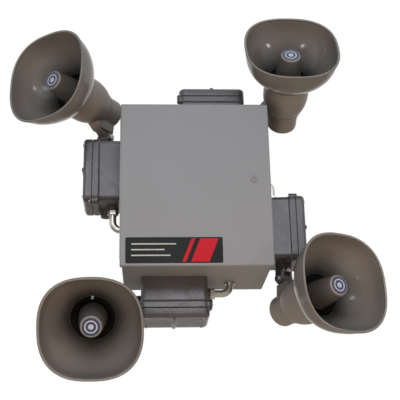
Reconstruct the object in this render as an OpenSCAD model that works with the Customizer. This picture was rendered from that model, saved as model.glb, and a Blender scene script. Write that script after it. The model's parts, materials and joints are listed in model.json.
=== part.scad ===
// Wall-mounted electronic warning siren: a grey steel cabinet with a hinged door,
// and an amplified horn loudspeaker on each of its four sides, set as a pinwheel.
// Millimetres. The wall is the plane y = 0, the door faces -Y and +Z is up.

/* [Cabinet] */
// Width of the cabinet body
cabinet_w = 347; // [320:1:400]
// Height of the cabinet body
cabinet_h = 398; // [370:1:450]
// Depth of the cabinet body, from the wall to its front rim
cabinet_d = 223; // [205:1:260]
// Thickness of the cabinet's steel sheet
sheet = 2; // [1.5:0.1:3]
// Width of the rim folded in round the cabinet's mouth
rim_w = 16; // [14:1:22]
// Diameter of the four bolt holes in the back
wall_hole_d = 9; // [6:0.5:12]
// Distance of each bolt hole from the body's edges
wall_hole_inset = 25; // [18:1:40]

/* [Door] */
// How far the door stands out past each side of the body
door_overhang = 4.5; // [3.5:0.5:8]
// Depth of the folded door pan
door_d = 12; // [11:1:18]
// Gap between the door pan and the cabinet's rim
door_gap = 5; // [4.5:0.5:6]
// Radius of the bend round the door's front
door_bend_r = 3; // [1:0.5:5]
// Width of the door's sealing strip
gasket_w = 10; // [6:1:12]
// Diameter of the latch's head
latch_head_d = 16; // [13:1:22]
// Diameter of the latch's shaft
latch_shaft_d = 9; // [7:0.5:11]
// Distance of the latch from the door's free edge
latch_inset = 40; // [36:1:50]
// Height of the latch above the door's middle
latch_z = 8; // [-60:1:60]
// Length of the latch's cam from the shaft's axis
latch_cam_l = 30; // [28:1:34]

/* [Hinge] */
// Diameter of the hinge's barrel
hinge_d = 5; // [4:0.5:5.5]
// Diameter of the hinge's pin
hinge_pin_d = 2.5; // [2:0.5:3]
// Width of the leaf on the cabinet
hinge_leaf_w = 26; // [16:1:40]
// Number of knuckles along the hinge
hinge_knuckles = 9; // [5:2:15]

/* [Amplifier box] */
// Length of the cast box along the cabinet's side
box_l = 162; // [152:1:180]
// Depth of the box, square to the wall
box_d = 123; // [110:1:140]
// Distance from the wall to the back of the box
box_wall_gap = 12; // [5:1:30]
// Height of the cast base, from the cabinet's side to the cover
base_h = 77; // [74:1:90]
// Height of the flange round the top of the base
flange_h = 15; // [8:1:20]
// How far the flange stands out
flange_lip = 2.5; // [1:0.5:5]
// Draft of each side of the casting
box_draft = 2; // [0.5:0.5:4]
// Corner radius of the box
box_corner_r = 12; // [6:1:20]
// Height of the cover over the base
cover_h = 23; // [20:1:34]
// Distance from the cabinet's corner to the box's horn end
box_corner_gap = 42; // [38:1:60]

/* [Conduit] */
// Outer diameter of the conduit
conduit_d = 18; // [14:1:21]
// Radius of the bend's centre line
conduit_bend_r = 21; // [15:1:23]
// Height of the conduit over the cabinet's side
conduit_z = 28; // [26:1:36]
// Distance from the wall to the conduit's axis
conduit_wall_gap = 68; // [45:1:95]
// Straight length of conduit before the bend
conduit_run = 28; // [22:1:60]

/* [Swivel] */
// Height of the swivel's axis over the cabinet's side
swivel_z = 50; // [44:1:56]
// Distance from the wall to the swivel's axis
swivel_wall_gap = 60; // [50:1:75]
// Diameter of the swivel's round flange
swivel_d = 40; // [36:1:44]
// Diameter of the stud that the fork turns on
stud_d = 16; // [10:1:20]
// Diameter of the tilt bolt
bolt_d = 10; // [8:1:12]
// Thickness of the horn's arm at the tilt bolt
arm_t = 20; // [14:1:22]
// Thickness of each ear of the fork
ear_t = 6; // [4:1:8]
// Height from the tilt bolt to the horn's axis
horn_rise = 77; // [72:1:95]

/* [Horn] */
// Half the width of the horn's mouth
mouth_r = 117; // [100:1:125]
// Squareness of the mouth, where 2 is a circle
mouth_power = 2.53; // [2.1:0.01:3.5]
// Distance from the tilt bolt forward to the mouth
mouth_reach = 238; // [230:1:255]
// Length of the bell, from its mouth to its neck
bell_l = 107; // [95:1:112]
// Outer radius of the bell's neck
neck_r = 58.6; // [54:0.1:62]
// Wall of the bell
bell_wall = 3; // [2:0.5:5]
// How far the rolled lip of the mouth stands out
lip_w = 3; // [1:0.5:5]
// Radius of the driver can
can_r = 38.5; // [34:0.5:44]
// Length of the driver can behind the tilt bolt
can_back = 23; // [12:1:30]
// Length of the driver can ahead of the tilt bolt
can_front = 34; // [28:1:44]
// Radius of the centre plug at its tip
plug_tip_r = 25; // [18:1:28]
// Radius of the centre plug at its base
plug_base_r = 34; // [30:1:40]
// Distance from the mouth back to the plug's tip
plug_inset = 26; // [15:1:40]

/* [Aim] */
// How far the left horn points away from straight ahead
pan_left = 35.9; // [20:0.1:58]
// How far the top horn points away from straight ahead
pan_top = 22.7; // [20:0.1:58]
// How far the right horn points away from straight ahead
pan_right = 26.7; // [20:0.1:58]
// How far the bottom horn points away from straight ahead
pan_bottom = 27; // [20:0.1:58]
// Tilt of the left horn towards its end of the box
tilt_left = 1.6; // [-10:0.1:10]
// Tilt of the top horn towards its end of the box
tilt_top = 0; // [-10:0.1:10]
// Tilt of the right horn towards its end of the box
tilt_right = -3; // [-10:0.1:10]
// Tilt of the bottom horn towards its end of the box
tilt_bottom = -0.4; // [-10:0.1:10]

/* [Hidden] */
$fn = 48;
// Facets round a corner that is blended
blend_fn = 24;
// Overrun of every cut
cut = 1;
// Thickness of the thin slices that a blend spans
slice = 0.1;
// Running clearance of a shaft in its bore
fit = 0.1;
// Gap between faces that turn on each other
face_gap = 0.3;

// Units, counted clockwise from the top as seen from the front
UNITS = ["top", "right", "bottom", "left"];
pans = [pan_top, pan_right, pan_bottom, pan_left];
tilts = [tilt_top, tilt_right, tilt_bottom, tilt_left];

// Cabinet and door
door_w = cabinet_w + 2 * door_overhang;
door_h = cabinet_h + 2 * door_overhang;
door_back_y = -cabinet_d - door_gap;
door_front_y = door_back_y - door_d;
side_len = cabinet_d - sheet;
wall_hole_x = cabinet_w / 2 - wall_hole_inset;
wall_hole_z = cabinet_h / 2 - wall_hole_inset;
gasket_inset = (rim_w - gasket_w) / 2;
gasket_front_y = door_front_y + sheet;
gasket_back_y = -cabinet_d - face_gap;
latch_x = door_w / 2 - latch_inset;
latch_head_h = 3;
latch_nut_d = latch_head_d;
latch_nut_h = 5;
latch_cam_w = 14;
latch_cam_t = 3;
latch_cam_gap = 6;
latch_cam_y = -cabinet_d + sheet + latch_cam_gap;

// Hinge
hinge_r = hinge_d / 2;
hinge_side_gap = 1;
hinge_fold_gap = 0.5;
hinge_x = -cabinet_w / 2 - hinge_side_gap - hinge_r;
hinge_y = door_back_y + hinge_fold_gap + hinge_r;
hinge_l = cabinet_h - 2 * rim_w;
knuckle_pitch = hinge_l / hinge_knuckles;
knuckle_gap = 0.8;
knuckle_h = knuckle_pitch - knuckle_gap;
cabinet_leaf_t = 2;
door_leaf_t = 1.5;
door_leaf_w = 8;
door_leaf_x = -door_w / 2 + sheet;

// Amplifier box, in a unit's own frame: x runs along the cabinet's side towards the
// horn from the cabinet's corner, y is square to the wall, z stands out from the side
box_x = -box_corner_gap - box_l / 2;
box_y = -box_wall_gap - box_d / 2;
box_horn_x = -box_corner_gap;
box_conduit_x = -box_corner_gap - box_l;
flange_z = base_h - flange_h;
flange_l = box_l + 2 * flange_lip;
flange_d = box_d + 2 * flange_lip;
flange_r = box_corner_r + flange_lip;
cover_groove = 1.5;
cover_groove_h = 2;
cover_edge_r = 9;
rib_r = 6;
rib_proud = 3.5;
rib_end_share = 0.5;
pad_proud = 1.5;
pad_l = flange_lip + pad_proud;
pad_x = box_horn_x + pad_l;
hub_r = 14;
hub_l = 14;
hub_wall_gap = 38;
hub_y = -hub_wall_gap;
hub_drop = 2;
hub_z = flange_z - hub_r - hub_drop;
lug_r = 9;
lug_proud = 8;
lug_front_gap = 9;
lug_cover_h = 5;
lug_x = box_conduit_x - lug_proud + lug_r;
lug_y = -box_wall_gap - box_d + lug_front_gap;

// Conduit
conduit_r = conduit_d / 2;
conduit_y = -conduit_wall_gap;
conduit_hub_wall = 4.5;
conduit_hub_r = conduit_r + conduit_hub_wall;
conduit_hub_l = 8;
conduit_start_x = box_conduit_x - conduit_hub_l;
conduit_bend_x = conduit_start_x - conduit_run;
conduit_bend_z = conduit_z - conduit_bend_r;
nut_wall = 5;
nut_r = conduit_r + nut_wall;
nut_l = 11;
locknut_l = 5;

// Swivel
swivel_y = -swivel_wall_gap;
swivel_flange_t = 4;
fork_hub_t = 9;
ear_r = 13;
tongue_r = 12;
tongue_gap = 3;
fork_x = pad_x + swivel_flange_t + face_gap;
tilt_x = fork_x + fork_hub_t + tongue_gap + tongue_r;
ear_in = arm_t / 2 + face_gap;
ear_out = ear_in + ear_t;
bolt_head_r = 9;
bolt_head_h = 6;

// Horn, in its own frame: z points forward along the horn from the tilt bolt
neck_z = mouth_reach - bell_l;
neck_flange_h = 6;
neck_flange_lip = 2;
can_end_r = 8;
can_ring_h = 6;
can_ring_lip = 4.5;
shoulder_drop = 1.1;
shoulder_r = neck_r - shoulder_drop;
shoulder_l = 54;
shoulder_steps = 8;
throat_wall = 5.6;
throat_r = neck_r - throat_wall;
throat_floor_r = 24;
throat_floor_t = 42;
throat_floor_z = can_front + throat_floor_t;
tone_arm_r = 15;
plug_depth = 6;
plug_base_z = neck_z - plug_depth;
plug_edge_r = 4;
arm_wide_t = 34;
arm_shoulder_gap = 2;
arm_shoulder_x = ear_r + arm_shoulder_gap;
arm_sunk = 10;
arm_top_x = horn_rise - can_r + arm_sunk;
arm_top_front_z = can_front + shoulder_l;
arm_top_back_z = -can_back + can_end_r / 2;
bell_sides = 48;
bell_rings = 8;
bell_flare_power = 2.4;
lip_h = 5;
lip_low_share = 0.7;
lip_high_share = 0.2;

NODES = [
    "cabinet_back", "cabinet_left_side", "cabinet_right_side", "cabinet_top", "cabinet_bottom",
    "door_panel", "door_gasket", "door_latch", "hinge_cabinet_leaf", "hinge_door_leaf", "hinge_pin",
    "conduit_elbows",
    "top_amplifier_base", "right_amplifier_base", "bottom_amplifier_base", "left_amplifier_base",
    "top_amplifier_cover", "right_amplifier_cover", "bottom_amplifier_cover", "left_amplifier_cover",
    "top_swivel_post", "right_swivel_post", "bottom_swivel_post", "left_swivel_post",
    "top_swivel_fork", "right_swivel_fork", "bottom_swivel_fork", "left_swivel_fork",
    "top_swivel_bolt", "right_swivel_bolt", "bottom_swivel_bolt", "left_swivel_bolt",
    "top_horn_body", "right_horn_body", "bottom_horn_body", "left_horn_body",
    "top_horn_bell", "right_horn_bell", "bottom_horn_bell", "left_horn_bell",
    "top_horn_plug", "right_horn_plug", "bottom_horn_plug", "left_horn_plug",
];
node = "all";

// Flat shapes

// A rectangle with round corners, centred
module rounded_rect(l, w, r) {
    square([l - 2 * r, w], center = true);
    square([l, w - 2 * r], center = true);
    for (sx = [-1, 1], sy = [-1, 1])
        translate([sx * (l / 2 - r), sy * (w / 2 - r)])
            circle(r);
}

// A thin slice of a rounded rectangle, for a blend to span
module rect_slice(l, w, r, z) {
    translate([0, 0, z])
        linear_extrude(slice)
            rounded_rect(l, w, r, $fn = blend_fn);
}

// A slab with round corners whose upper edge is rounded over
module soft_slab(l, w, h, corner_r, edge_r) {
    steps = 4;
    hull() {
        rect_slice(l, w, corner_r, 0);
        for (k = [0 : steps]) {
            turn = 90 * k / steps;
            inset = edge_r * (1 - cos(turn));
            rise = h - slice - edge_r * (1 - sin(turn));
            top_r = corner_r - inset * corner_r / (corner_r + edge_r);
            rect_slice(l - 2 * inset, w - 2 * inset, top_r, rise);
        }
    }
}

// Frames

// Puts a unit's own frame on its side of the cabinet
module on_side(i) {
    corner = i % 2 == 0 ? cabinet_w / 2 : cabinet_h / 2;
    side = i % 2 == 0 ? cabinet_h / 2 : cabinet_w / 2;
    rotate([0, 90 * i, 0])
        translate([corner, 0, side])
            children();
}

// The swivel's frame, turned to the horn's pan: x is the swivel's axis
module on_swivel(i) {
    on_side(i)
        translate([0, swivel_y, swivel_z])
            rotate([-pans[i], 0, 0])
                children();
}

// The horn's frame, at the tilt bolt: z points forward, y runs along the bolt
module on_horn(i) {
    on_swivel(i)
        translate([tilt_x, 0, 0])
            rotate([0, 0, tilts[i]])
                rotate([90, 0, 0])
                    children();
}

// Cabinet

module cabinet_back() {
    color([0.53, 0.53, 0.54])
        difference() {
            translate([-cabinet_w / 2, -sheet, -cabinet_h / 2])
                cube([cabinet_w, sheet, cabinet_h]);
            for (sx = [-1, 1], sz = [-1, 1])
                translate([sx * wall_hole_x, cut, sz * wall_hole_z])
                    rotate([90, 0, 0])
                        cylinder(d = wall_hole_d, h = sheet + 2 * cut);
        }
}

// A side wall with its folded rim, standing on z = 0 and reaching up
module side_wall(w) {
    translate([-w / 2, -cabinet_d, 0]) {
        cube([w, side_len, sheet]);
        translate([0, 0, -rim_w + sheet])
            cube([w, sheet, rim_w]);
    }
}

module cabinet_top() {
    color([0.53, 0.53, 0.54])
        translate([0, 0, cabinet_h / 2 - sheet])
            side_wall(cabinet_w);
}

module cabinet_bottom() {
    color([0.53, 0.53, 0.54])
        rotate([0, 180, 0])
            translate([0, 0, cabinet_h / 2 - sheet])
                side_wall(cabinet_w);
}

// An upright side between the top and the bottom, whose rim fits between theirs
module upright_side() {
    translate([0, 0, cabinet_w / 2 - sheet])
        intersection() {
            side_wall(cabinet_h - 2 * sheet);
            union() {
                translate([-cabinet_h / 2, -cabinet_d + sheet, 0])
                    cube([cabinet_h, side_len, sheet]);
                translate([-cabinet_h / 2 + rim_w, -cabinet_d - cut, -rim_w])
                    cube([cabinet_h - 2 * rim_w, sheet + cut, 2 * rim_w]);
            }
        }
}

module cabinet_right_side() {
    color([0.53, 0.53, 0.54])
        rotate([0, 90, 0])
            upright_side();
}

module cabinet_left_side() {
    color([0.53, 0.53, 0.54])
        rotate([0, -90, 0])
            upright_side();
}

// Door

module door_panel() {
    color([0.56, 0.56, 0.565])
        difference() {
            translate([0, door_back_y, 0])
                rotate([90, 0, 0])
                    soft_slab(door_w, door_h, door_d, door_bend_r, door_bend_r);
            translate([-door_w / 2 + sheet, door_front_y + sheet, -door_h / 2 + sheet])
                cube([door_w - 2 * sheet, door_d, door_h - 2 * sheet]);
            translate([latch_x, door_front_y - cut, latch_z])
                rotate([-90, 0, 0])
                    cylinder(d = latch_shaft_d + 2 * fit, h = sheet + 2 * cut);
        }
}

module door_gasket() {
    outer_w = cabinet_w - 2 * gasket_inset;
    outer_h = cabinet_h - 2 * gasket_inset;
    color([0.08, 0.08, 0.08])
        translate([0, gasket_back_y, 0])
            rotate([90, 0, 0])
                linear_extrude(gasket_back_y - gasket_front_y)
                    difference() {
                        square([outer_w, outer_h], center = true);
                        square([outer_w - 2 * gasket_w, outer_h - 2 * gasket_w], center = true);
                    }
}

// Quarter-turn latch, stored with its cam hanging clear of the rim
module door_latch() {
    head_y = door_front_y - face_gap - latch_head_h;
    nut_y = door_front_y + sheet + face_gap;
    color([0.7, 0.7, 0.72])
        translate([latch_x, 0, latch_z]) {
            translate([0, head_y, 0])
                rotate([-90, 0, 0])
                    cylinder(d = latch_head_d, h = latch_head_h);
            translate([0, head_y, 0])
                rotate([-90, 0, 0])
                    cylinder(d = latch_shaft_d, h = latch_cam_y + latch_cam_t - head_y);
            translate([0, nut_y, 0])
                rotate([-90, 0, 0])
                    cylinder(d = latch_nut_d, h = latch_nut_h, $fn = 6);
            translate([0, latch_cam_y, 0])
                rotate([-90, 0, 0])
                    linear_extrude(latch_cam_t) {
                        circle(d = latch_cam_w);
                        translate([-latch_cam_w / 2, 0])
                            square([latch_cam_w, latch_cam_l - latch_cam_w / 2]);
                        translate([0, latch_cam_l - latch_cam_w / 2])
                            circle(d = latch_cam_w);
                    }
        }
}

// Hinge

// One knuckle of the hinge, by its place along the barrel
module knuckle(k) {
    translate([hinge_x, hinge_y, -hinge_l / 2 + k * knuckle_pitch + knuckle_gap / 2])
        children();
}

// The bore of the whole barrel
module hinge_bore() {
    translate([hinge_x, hinge_y, -hinge_l / 2 - cut])
        cylinder(d = hinge_pin_d + 2 * fit, h = hinge_l + 2 * cut);
}

// Leaf on the cabinet's side, reaching forward to every other knuckle
module hinge_cabinet_leaf() {
    web_l = -cabinet_d - hinge_y;
    color([0.6, 0.6, 0.61])
        difference() {
            union() {
                translate([-cabinet_w / 2 - cabinet_leaf_t, -cabinet_d, -hinge_l / 2])
                    cube([cabinet_leaf_t, hinge_leaf_w, hinge_l]);
                for (k = [0 : 2 : hinge_knuckles - 1])
                    knuckle(k) {
                        cylinder(r = hinge_r, h = knuckle_h);
                        translate([-cabinet_w / 2 - cabinet_leaf_t - hinge_x, 0, 0])
                            cube([cabinet_leaf_t, web_l, knuckle_h]);
                    }
            }
            hinge_bore();
        }
}

// Leaf inside the door's fold, reaching back to the knuckles between
module hinge_door_leaf() {
    color([0.6, 0.6, 0.61])
        difference() {
            union() {
                translate([door_leaf_x, door_back_y - door_leaf_w, -hinge_l / 2])
                    cube([door_leaf_t, door_leaf_w, hinge_l]);
                for (k = [1 : 2 : hinge_knuckles - 1])
                    knuckle(k) {
                        cylinder(r = hinge_r, h = knuckle_h);
                        translate([door_leaf_x - hinge_x, door_back_y - hinge_y, 0])
                            cube([door_leaf_t, hinge_y - door_back_y, knuckle_h]);
                    }
            }
            hinge_bore();
        }
}

module hinge_pin() {
    color([0.72, 0.72, 0.74])
        translate([hinge_x, hinge_y, -hinge_l / 2])
            cylinder(d = hinge_pin_d, h = hinge_l);
}

// Conduit

// A bent conduit from the box's end into the cabinet's side, with its fittings
module conduit_elbow() {
    translate([conduit_bend_x, conduit_y, conduit_z])
        rotate([0, 90, 0])
            cylinder(r = conduit_r, h = conduit_run);
    translate([conduit_start_x - nut_l, conduit_y, conduit_z])
        rotate([0, 90, 0])
            cylinder(r = nut_r, h = nut_l, $fn = 6);
    translate([conduit_bend_x, conduit_y, conduit_bend_z])
        rotate([90, 0, 0])
            rotate([0, 0, 90])
                rotate_extrude(angle = 90)
                    translate([conduit_bend_r, 0])
                        circle(conduit_r);
    translate([conduit_bend_x - conduit_bend_r, conduit_y, 0]) {
        cylinder(r = conduit_r, h = conduit_bend_z);
        cylinder(r = nut_r, h = locknut_l);
    }
}

module conduit_elbows() {
    color([0.42, 0.41, 0.41])
        for (i = [0 : len(UNITS) - 1])
            on_side(i)
                conduit_elbow();
}

// Amplifier box

// Cast base: a drafted block with a flange, a screw lug, a plugged hub, a conduit hub and a swivel pad
module amplifier_base(i) {
    color([0.4, 0.39, 0.4])
        on_side(i) {
            translate([box_x, box_y, 0]) {
                hull() {
                    rect_slice(box_l - 2 * box_draft, box_d - 2 * box_draft, box_corner_r, 0);
                    rect_slice(box_l, box_d, box_corner_r, flange_z + flange_h / 2);
                }
                translate([0, 0, flange_z])
                    linear_extrude(flange_h)
                        rounded_rect(flange_l, flange_d, flange_r);
            }
            translate([lug_x, lug_y, flange_z])
                cylinder(r = lug_r, h = flange_h);
            translate([box_conduit_x - hub_l, hub_y, hub_z])
                rotate([0, 90, 0])
                    cylinder(r = hub_r, h = hub_l + box_corner_r);
            translate([conduit_start_x, conduit_y, conduit_z])
                rotate([0, 90, 0])
                    cylinder(r = conduit_hub_r, h = conduit_hub_l + box_corner_r);
            translate([box_horn_x - box_corner_r, swivel_y, swivel_z])
                rotate([0, 90, 0])
                    cylinder(d = swivel_d, h = box_corner_r + pad_l);
        }
}

// Cover: a shadow groove over the flange, a crowned lid, a cross rib and a screw lug
module amplifier_cover(i) {
    groove_l = box_l - 2 * cover_groove;
    groove_d = box_d - 2 * cover_groove;
    rib_l = flange_d - 2 * rib_end_share * cover_edge_r;
    color([0.41, 0.4, 0.41])
        on_side(i) {
            translate([box_x, box_y, base_h]) {
                linear_extrude(cover_groove_h + cut)
                    rounded_rect(groove_l, groove_d, box_corner_r - cover_groove);
                translate([0, 0, cover_groove_h])
                    soft_slab(flange_l, flange_d, cover_h - cover_groove_h, flange_r, cover_edge_r);
                translate([0, rib_l / 2, cover_h - rib_r + rib_proud])
                    rotate([90, 0, 0])
                        cylinder(r = rib_r, h = rib_l);
            }
            translate([lug_x, lug_y, base_h])
                cylinder(r = lug_r, h = lug_cover_h);
        }
}

// Swivel

// Round flange on the box's horn end, with the stud that the fork turns on
module swivel_post(i) {
    color([0.4, 0.39, 0.4])
        on_side(i)
            translate([pad_x, swivel_y, swivel_z])
                rotate([0, 90, 0]) {
                    cylinder(d = swivel_d, h = swivel_flange_t);
                    cylinder(d = stud_d, h = swivel_flange_t + face_gap + fork_hub_t);
                }
}

// Fork that turns on the stud and holds the tilt bolt between two ears
module swivel_fork(i) {
    ear_h = tilt_x - fork_x;
    color([0.38, 0.37, 0.38])
        on_swivel(i)
            difference() {
                union() {
                    translate([fork_x, 0, 0])
                        rotate([0, 90, 0])
                            cylinder(d = swivel_d, h = fork_hub_t);
                    for (z = [-ear_out, ear_in])
                        translate([fork_x, 0, z])
                            linear_extrude(ear_t) {
                                translate([0, -ear_r])
                                    square([ear_h, 2 * ear_r]);
                                translate([ear_h, 0])
                                    circle(ear_r);
                            }
                }
                translate([fork_x - cut, 0, 0])
                    rotate([0, 90, 0])
                        cylinder(d = stud_d + 2 * fit, h = fork_hub_t + 2 * cut);
                translate([tilt_x, 0, -ear_out - cut])
                    cylinder(d = bolt_d + 2 * fit, h = 2 * (ear_out + cut));
            }
}

// Tilt bolt with its head towards the cabinet and its nut on the far ear
module swivel_bolt(i) {
    color([0.62, 0.62, 0.63])
        on_swivel(i)
            translate([tilt_x, 0, 0]) {
                translate([0, 0, -ear_out])
                    cylinder(d = bolt_d, h = 2 * ear_out);
                translate([0, 0, -ear_out - bolt_head_h])
                    cylinder(r = bolt_head_r, h = bolt_head_h, $fn = 6);
                translate([0, 0, ear_out])
                    cylinder(r = bolt_head_r, h = bolt_head_h, $fn = 6);
            }
}

// Horn

// A point on the casting's shoulder, which swells from the can's ring to its full radius
function shoulder_point(u) = [
    shoulder_r - (shoulder_r - can_r - can_ring_lip) * pow(1 - u, 2),
    can_front + shoulder_l * u,
];

// Half outline of the rear casting: driver can, ring, shoulder, neck flange and open throat
module horn_body_outline() {
    difference() {
        union() {
            translate([0, -can_back + can_end_r])
                square([can_r, can_back - can_end_r + can_front]);
            translate([0, -can_back])
                square([can_r - can_end_r, can_end_r]);
            translate([can_r - can_end_r, -can_back + can_end_r])
                intersection() {
                    circle(can_end_r);
                    translate([0, -can_end_r])
                        square(can_end_r);
                }
            translate([0, can_front - can_ring_h])
                square([can_r + can_ring_lip, can_ring_h]);
            polygon([
                [0, can_front],
                for (k = [0 : shoulder_steps]) shoulder_point(k / shoulder_steps),
                [shoulder_r, neck_z],
                [0, neck_z],
            ]);
            translate([0, neck_z - neck_flange_h])
                square([neck_r + neck_flange_lip, neck_flange_h]);
        }
        polygon([
            [0, throat_floor_z],
            [throat_floor_r, throat_floor_z],
            [throat_r, neck_z],
            [throat_r, neck_z + cut],
            [0, neck_z + cut],
        ]);
    }
    translate([0, throat_floor_z - cut])
        square([tone_arm_r, plug_base_z - throat_floor_z + cut]);
}

// Side view of the arm, from the tilt bolt up into the can and the shoulder
module arm_outline() {
    circle(tongue_r);
    polygon([
        [0, -tongue_r],
        [arm_top_x, arm_top_back_z],
        [arm_top_x, arm_top_front_z],
        [0, tongue_r],
    ]);
}

// Rear casting with its arm, which is thick above the fork and thin between the fork's ears
module horn_body(i) {
    color([0.34, 0.32, 0.31])
        on_horn(i)
            difference() {
                union() {
                    translate([horn_rise, 0, 0])
                        rotate_extrude()
                            horn_body_outline();
                    rotate([90, 0, 0]) {
                        linear_extrude(arm_t, center = true)
                            arm_outline();
                        linear_extrude(arm_wide_t, center = true)
                            intersection() {
                                arm_outline();
                                translate([arm_shoulder_x, -can_back])
                                    square([arm_top_x, can_back + arm_top_front_z]);
                            }
                    }
                }
                rotate([90, 0, 0])
                    cylinder(d = bolt_d + 2 * fit, h = arm_t + 2 * cut, center = true);
            }
}

// Share of the bell's widening reached at share u of its length from the neck
function bell_flare(u) = 1 - pow(1 - u, bell_flare_power);

// A point of a rounded square of half-width r and squareness p, at angle a
function rounded_square(r, p, a) = [
    r * sign(cos(a)) * pow(abs(cos(a)), 2 / p),
    r * sign(sin(a)) * pow(abs(sin(a)), 2 / p),
];

// The bell's section as [half-width, height, squareness]: out along the outside,
// round the rolled lip and back along the inside
function bell_section() = let (
    rim_r = mouth_r - lip_w,
    ring = function (r0, r1, u) [
        r0 + (r1 - r0) * bell_flare(u),
        neck_z + (bell_l - lip_h) * u,
        2 + (mouth_power - 2) * u,
    ],
    outside = [for (k = [0 : bell_rings]) ring(neck_r, rim_r, k / bell_rings)],
    lip = [
        [mouth_r, mouth_reach - lip_low_share * lip_h, mouth_power],
        [mouth_r, mouth_reach - lip_high_share * lip_h, mouth_power],
        [mouth_r - lip_w / 2, mouth_reach, mouth_power],
    ],
    inside = [for (k = [bell_rings : -1 : 0]) ring(throat_r, rim_r - bell_wall, k / bell_rings)]
) concat(outside, lip, inside);

// Bell: one closed skin lofted from the round neck to the rounded-square mouth
module horn_bell(i) {
    section = bell_section();
    n = len(section);
    points = [
        for (s = section, k = [0 : bell_sides - 1])
            let (p = rounded_square(s[0], s[2], 360 * k / bell_sides))
            [p[0], p[1], s[1]]
    ];
    faces = [
        for (j = [0 : n - 1], k = [0 : bell_sides - 1])
            let (a = j * bell_sides, b = ((j + 1) % n) * bell_sides, m = (k + 1) % bell_sides)
            [a + k, b + k, b + m, a + m]
    ];
    color([0.36, 0.33, 0.31])
        on_horn(i)
            translate([horn_rise, 0, 0])
                polyhedron(points, faces);
}

// Centre plug: a blunt cone on the end of the tone arm
module horn_plug(i) {
    tip_z = mouth_reach - plug_inset;
    color([0.33, 0.31, 0.3])
        on_horn(i)
            translate([horn_rise, 0, 0])
                rotate_extrude() {
                    polygon([
                        [0, plug_base_z],
                        [plug_base_r, plug_base_z],
                        [plug_tip_r, tip_z - plug_edge_r],
                        [0, tip_z - plug_edge_r],
                    ]);
                    translate([0, tip_z - plug_edge_r])
                        square([plug_tip_r - plug_edge_r, plug_edge_r]);
                    translate([plug_tip_r - plug_edge_r, tip_z - plug_edge_r])
                        intersection() {
                            circle(plug_edge_r);
                            square(plug_edge_r);
                        }
                }
}

// Whether a node is built: one by its name, or all of them
function wanted(name) = node == "all" || node == name;

if (wanted("cabinet_back")) cabinet_back();
if (wanted("cabinet_left_side")) cabinet_left_side();
if (wanted("cabinet_right_side")) cabinet_right_side();
if (wanted("cabinet_top")) cabinet_top();
if (wanted("cabinet_bottom")) cabinet_bottom();
if (wanted("door_panel")) door_panel();
if (wanted("door_gasket")) door_gasket();
if (wanted("door_latch")) door_latch();
if (wanted("hinge_cabinet_leaf")) hinge_cabinet_leaf();
if (wanted("hinge_door_leaf")) hinge_door_leaf();
if (wanted("hinge_pin")) hinge_pin();
if (wanted("conduit_elbows")) conduit_elbows();
for (i = [0 : len(UNITS) - 1]) {
    if (wanted(str(UNITS[i], "_amplifier_base"))) amplifier_base(i);
    if (wanted(str(UNITS[i], "_amplifier_cover"))) amplifier_cover(i);
    if (wanted(str(UNITS[i], "_swivel_post"))) swivel_post(i);
    if (wanted(str(UNITS[i], "_swivel_fork"))) swivel_fork(i);
    if (wanted(str(UNITS[i], "_swivel_bolt"))) swivel_bolt(i);
    if (wanted(str(UNITS[i], "_horn_body"))) horn_body(i);
    if (wanted(str(UNITS[i], "_horn_bell"))) horn_bell(i);
    if (wanted(str(UNITS[i], "_horn_plug"))) horn_plug(i);
}
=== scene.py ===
# %% [markdown]
# # A wall-mounted warning siren
# The object is a grey steel cabinet with a hinged door. On each of its four sides sits a cast
# amplifier box, and each box carries a horn loudspeaker on a swivel, so that the four horns turn
# round the cabinet like a pinwheel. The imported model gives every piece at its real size, in metres:
# the wall is the plane y = 0, the door faces -Y and +Z is up. This lesson gives the pieces their
# finish and adds the small things that a hand would feel.

# %% Load the frame
import json
import math

import bmesh
import bpy
from mathutils import Matrix, Vector


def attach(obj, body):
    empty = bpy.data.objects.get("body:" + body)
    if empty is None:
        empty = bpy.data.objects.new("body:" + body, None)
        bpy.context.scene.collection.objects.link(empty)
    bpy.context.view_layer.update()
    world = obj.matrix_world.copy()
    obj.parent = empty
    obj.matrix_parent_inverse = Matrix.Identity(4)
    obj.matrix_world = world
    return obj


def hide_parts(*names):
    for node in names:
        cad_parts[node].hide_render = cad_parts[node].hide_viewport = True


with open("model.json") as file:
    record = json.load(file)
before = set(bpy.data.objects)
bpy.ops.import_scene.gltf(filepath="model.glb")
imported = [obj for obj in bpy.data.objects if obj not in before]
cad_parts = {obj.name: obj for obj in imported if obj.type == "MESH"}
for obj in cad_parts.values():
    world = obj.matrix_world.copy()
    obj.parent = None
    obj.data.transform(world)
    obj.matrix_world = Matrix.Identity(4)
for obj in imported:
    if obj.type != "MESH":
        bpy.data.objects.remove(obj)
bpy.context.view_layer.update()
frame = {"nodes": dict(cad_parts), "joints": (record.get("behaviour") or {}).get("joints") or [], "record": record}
record = frame["record"]
joints = {joint["name"]: joint for joint in frame["joints"]}
UNITS = ("top", "right", "bottom", "left")

# %% [markdown]
# ## The camera
# The photograph looks up at the cabinet from a little left of its middle and from well below it.
# The four horn mouths all have the same shape and size, so together they fix where the camera
# stood and how long its lens is. The camera comes first, because every later choice of colour and
# light is judged through it.

# %% Set the camera where the photographer stood
CAMERA_PLACE = (-0.1098, -2.2864, -0.7835)
CAMERA_TURN_DEG = (109.829, 1.162, -2.892)
LENS_MM = 83.745
SENSOR_MM = 36.0

lens = bpy.data.cameras.new("photo_camera")
lens.lens = LENS_MM
lens.sensor_width = SENSOR_MM
camera = bpy.data.objects.new("photo_camera", lens)
camera.location = CAMERA_PLACE
camera.rotation_euler = [math.radians(turn) for turn in CAMERA_TURN_DEG]
bpy.context.scene.collection.objects.link(camera)
bpy.context.scene.camera = camera
bpy.context.scene.view_settings.view_transform = "Standard"
print("camera at", CAMERA_PLACE, "with a lens of", LENS_MM, "mm")

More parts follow.
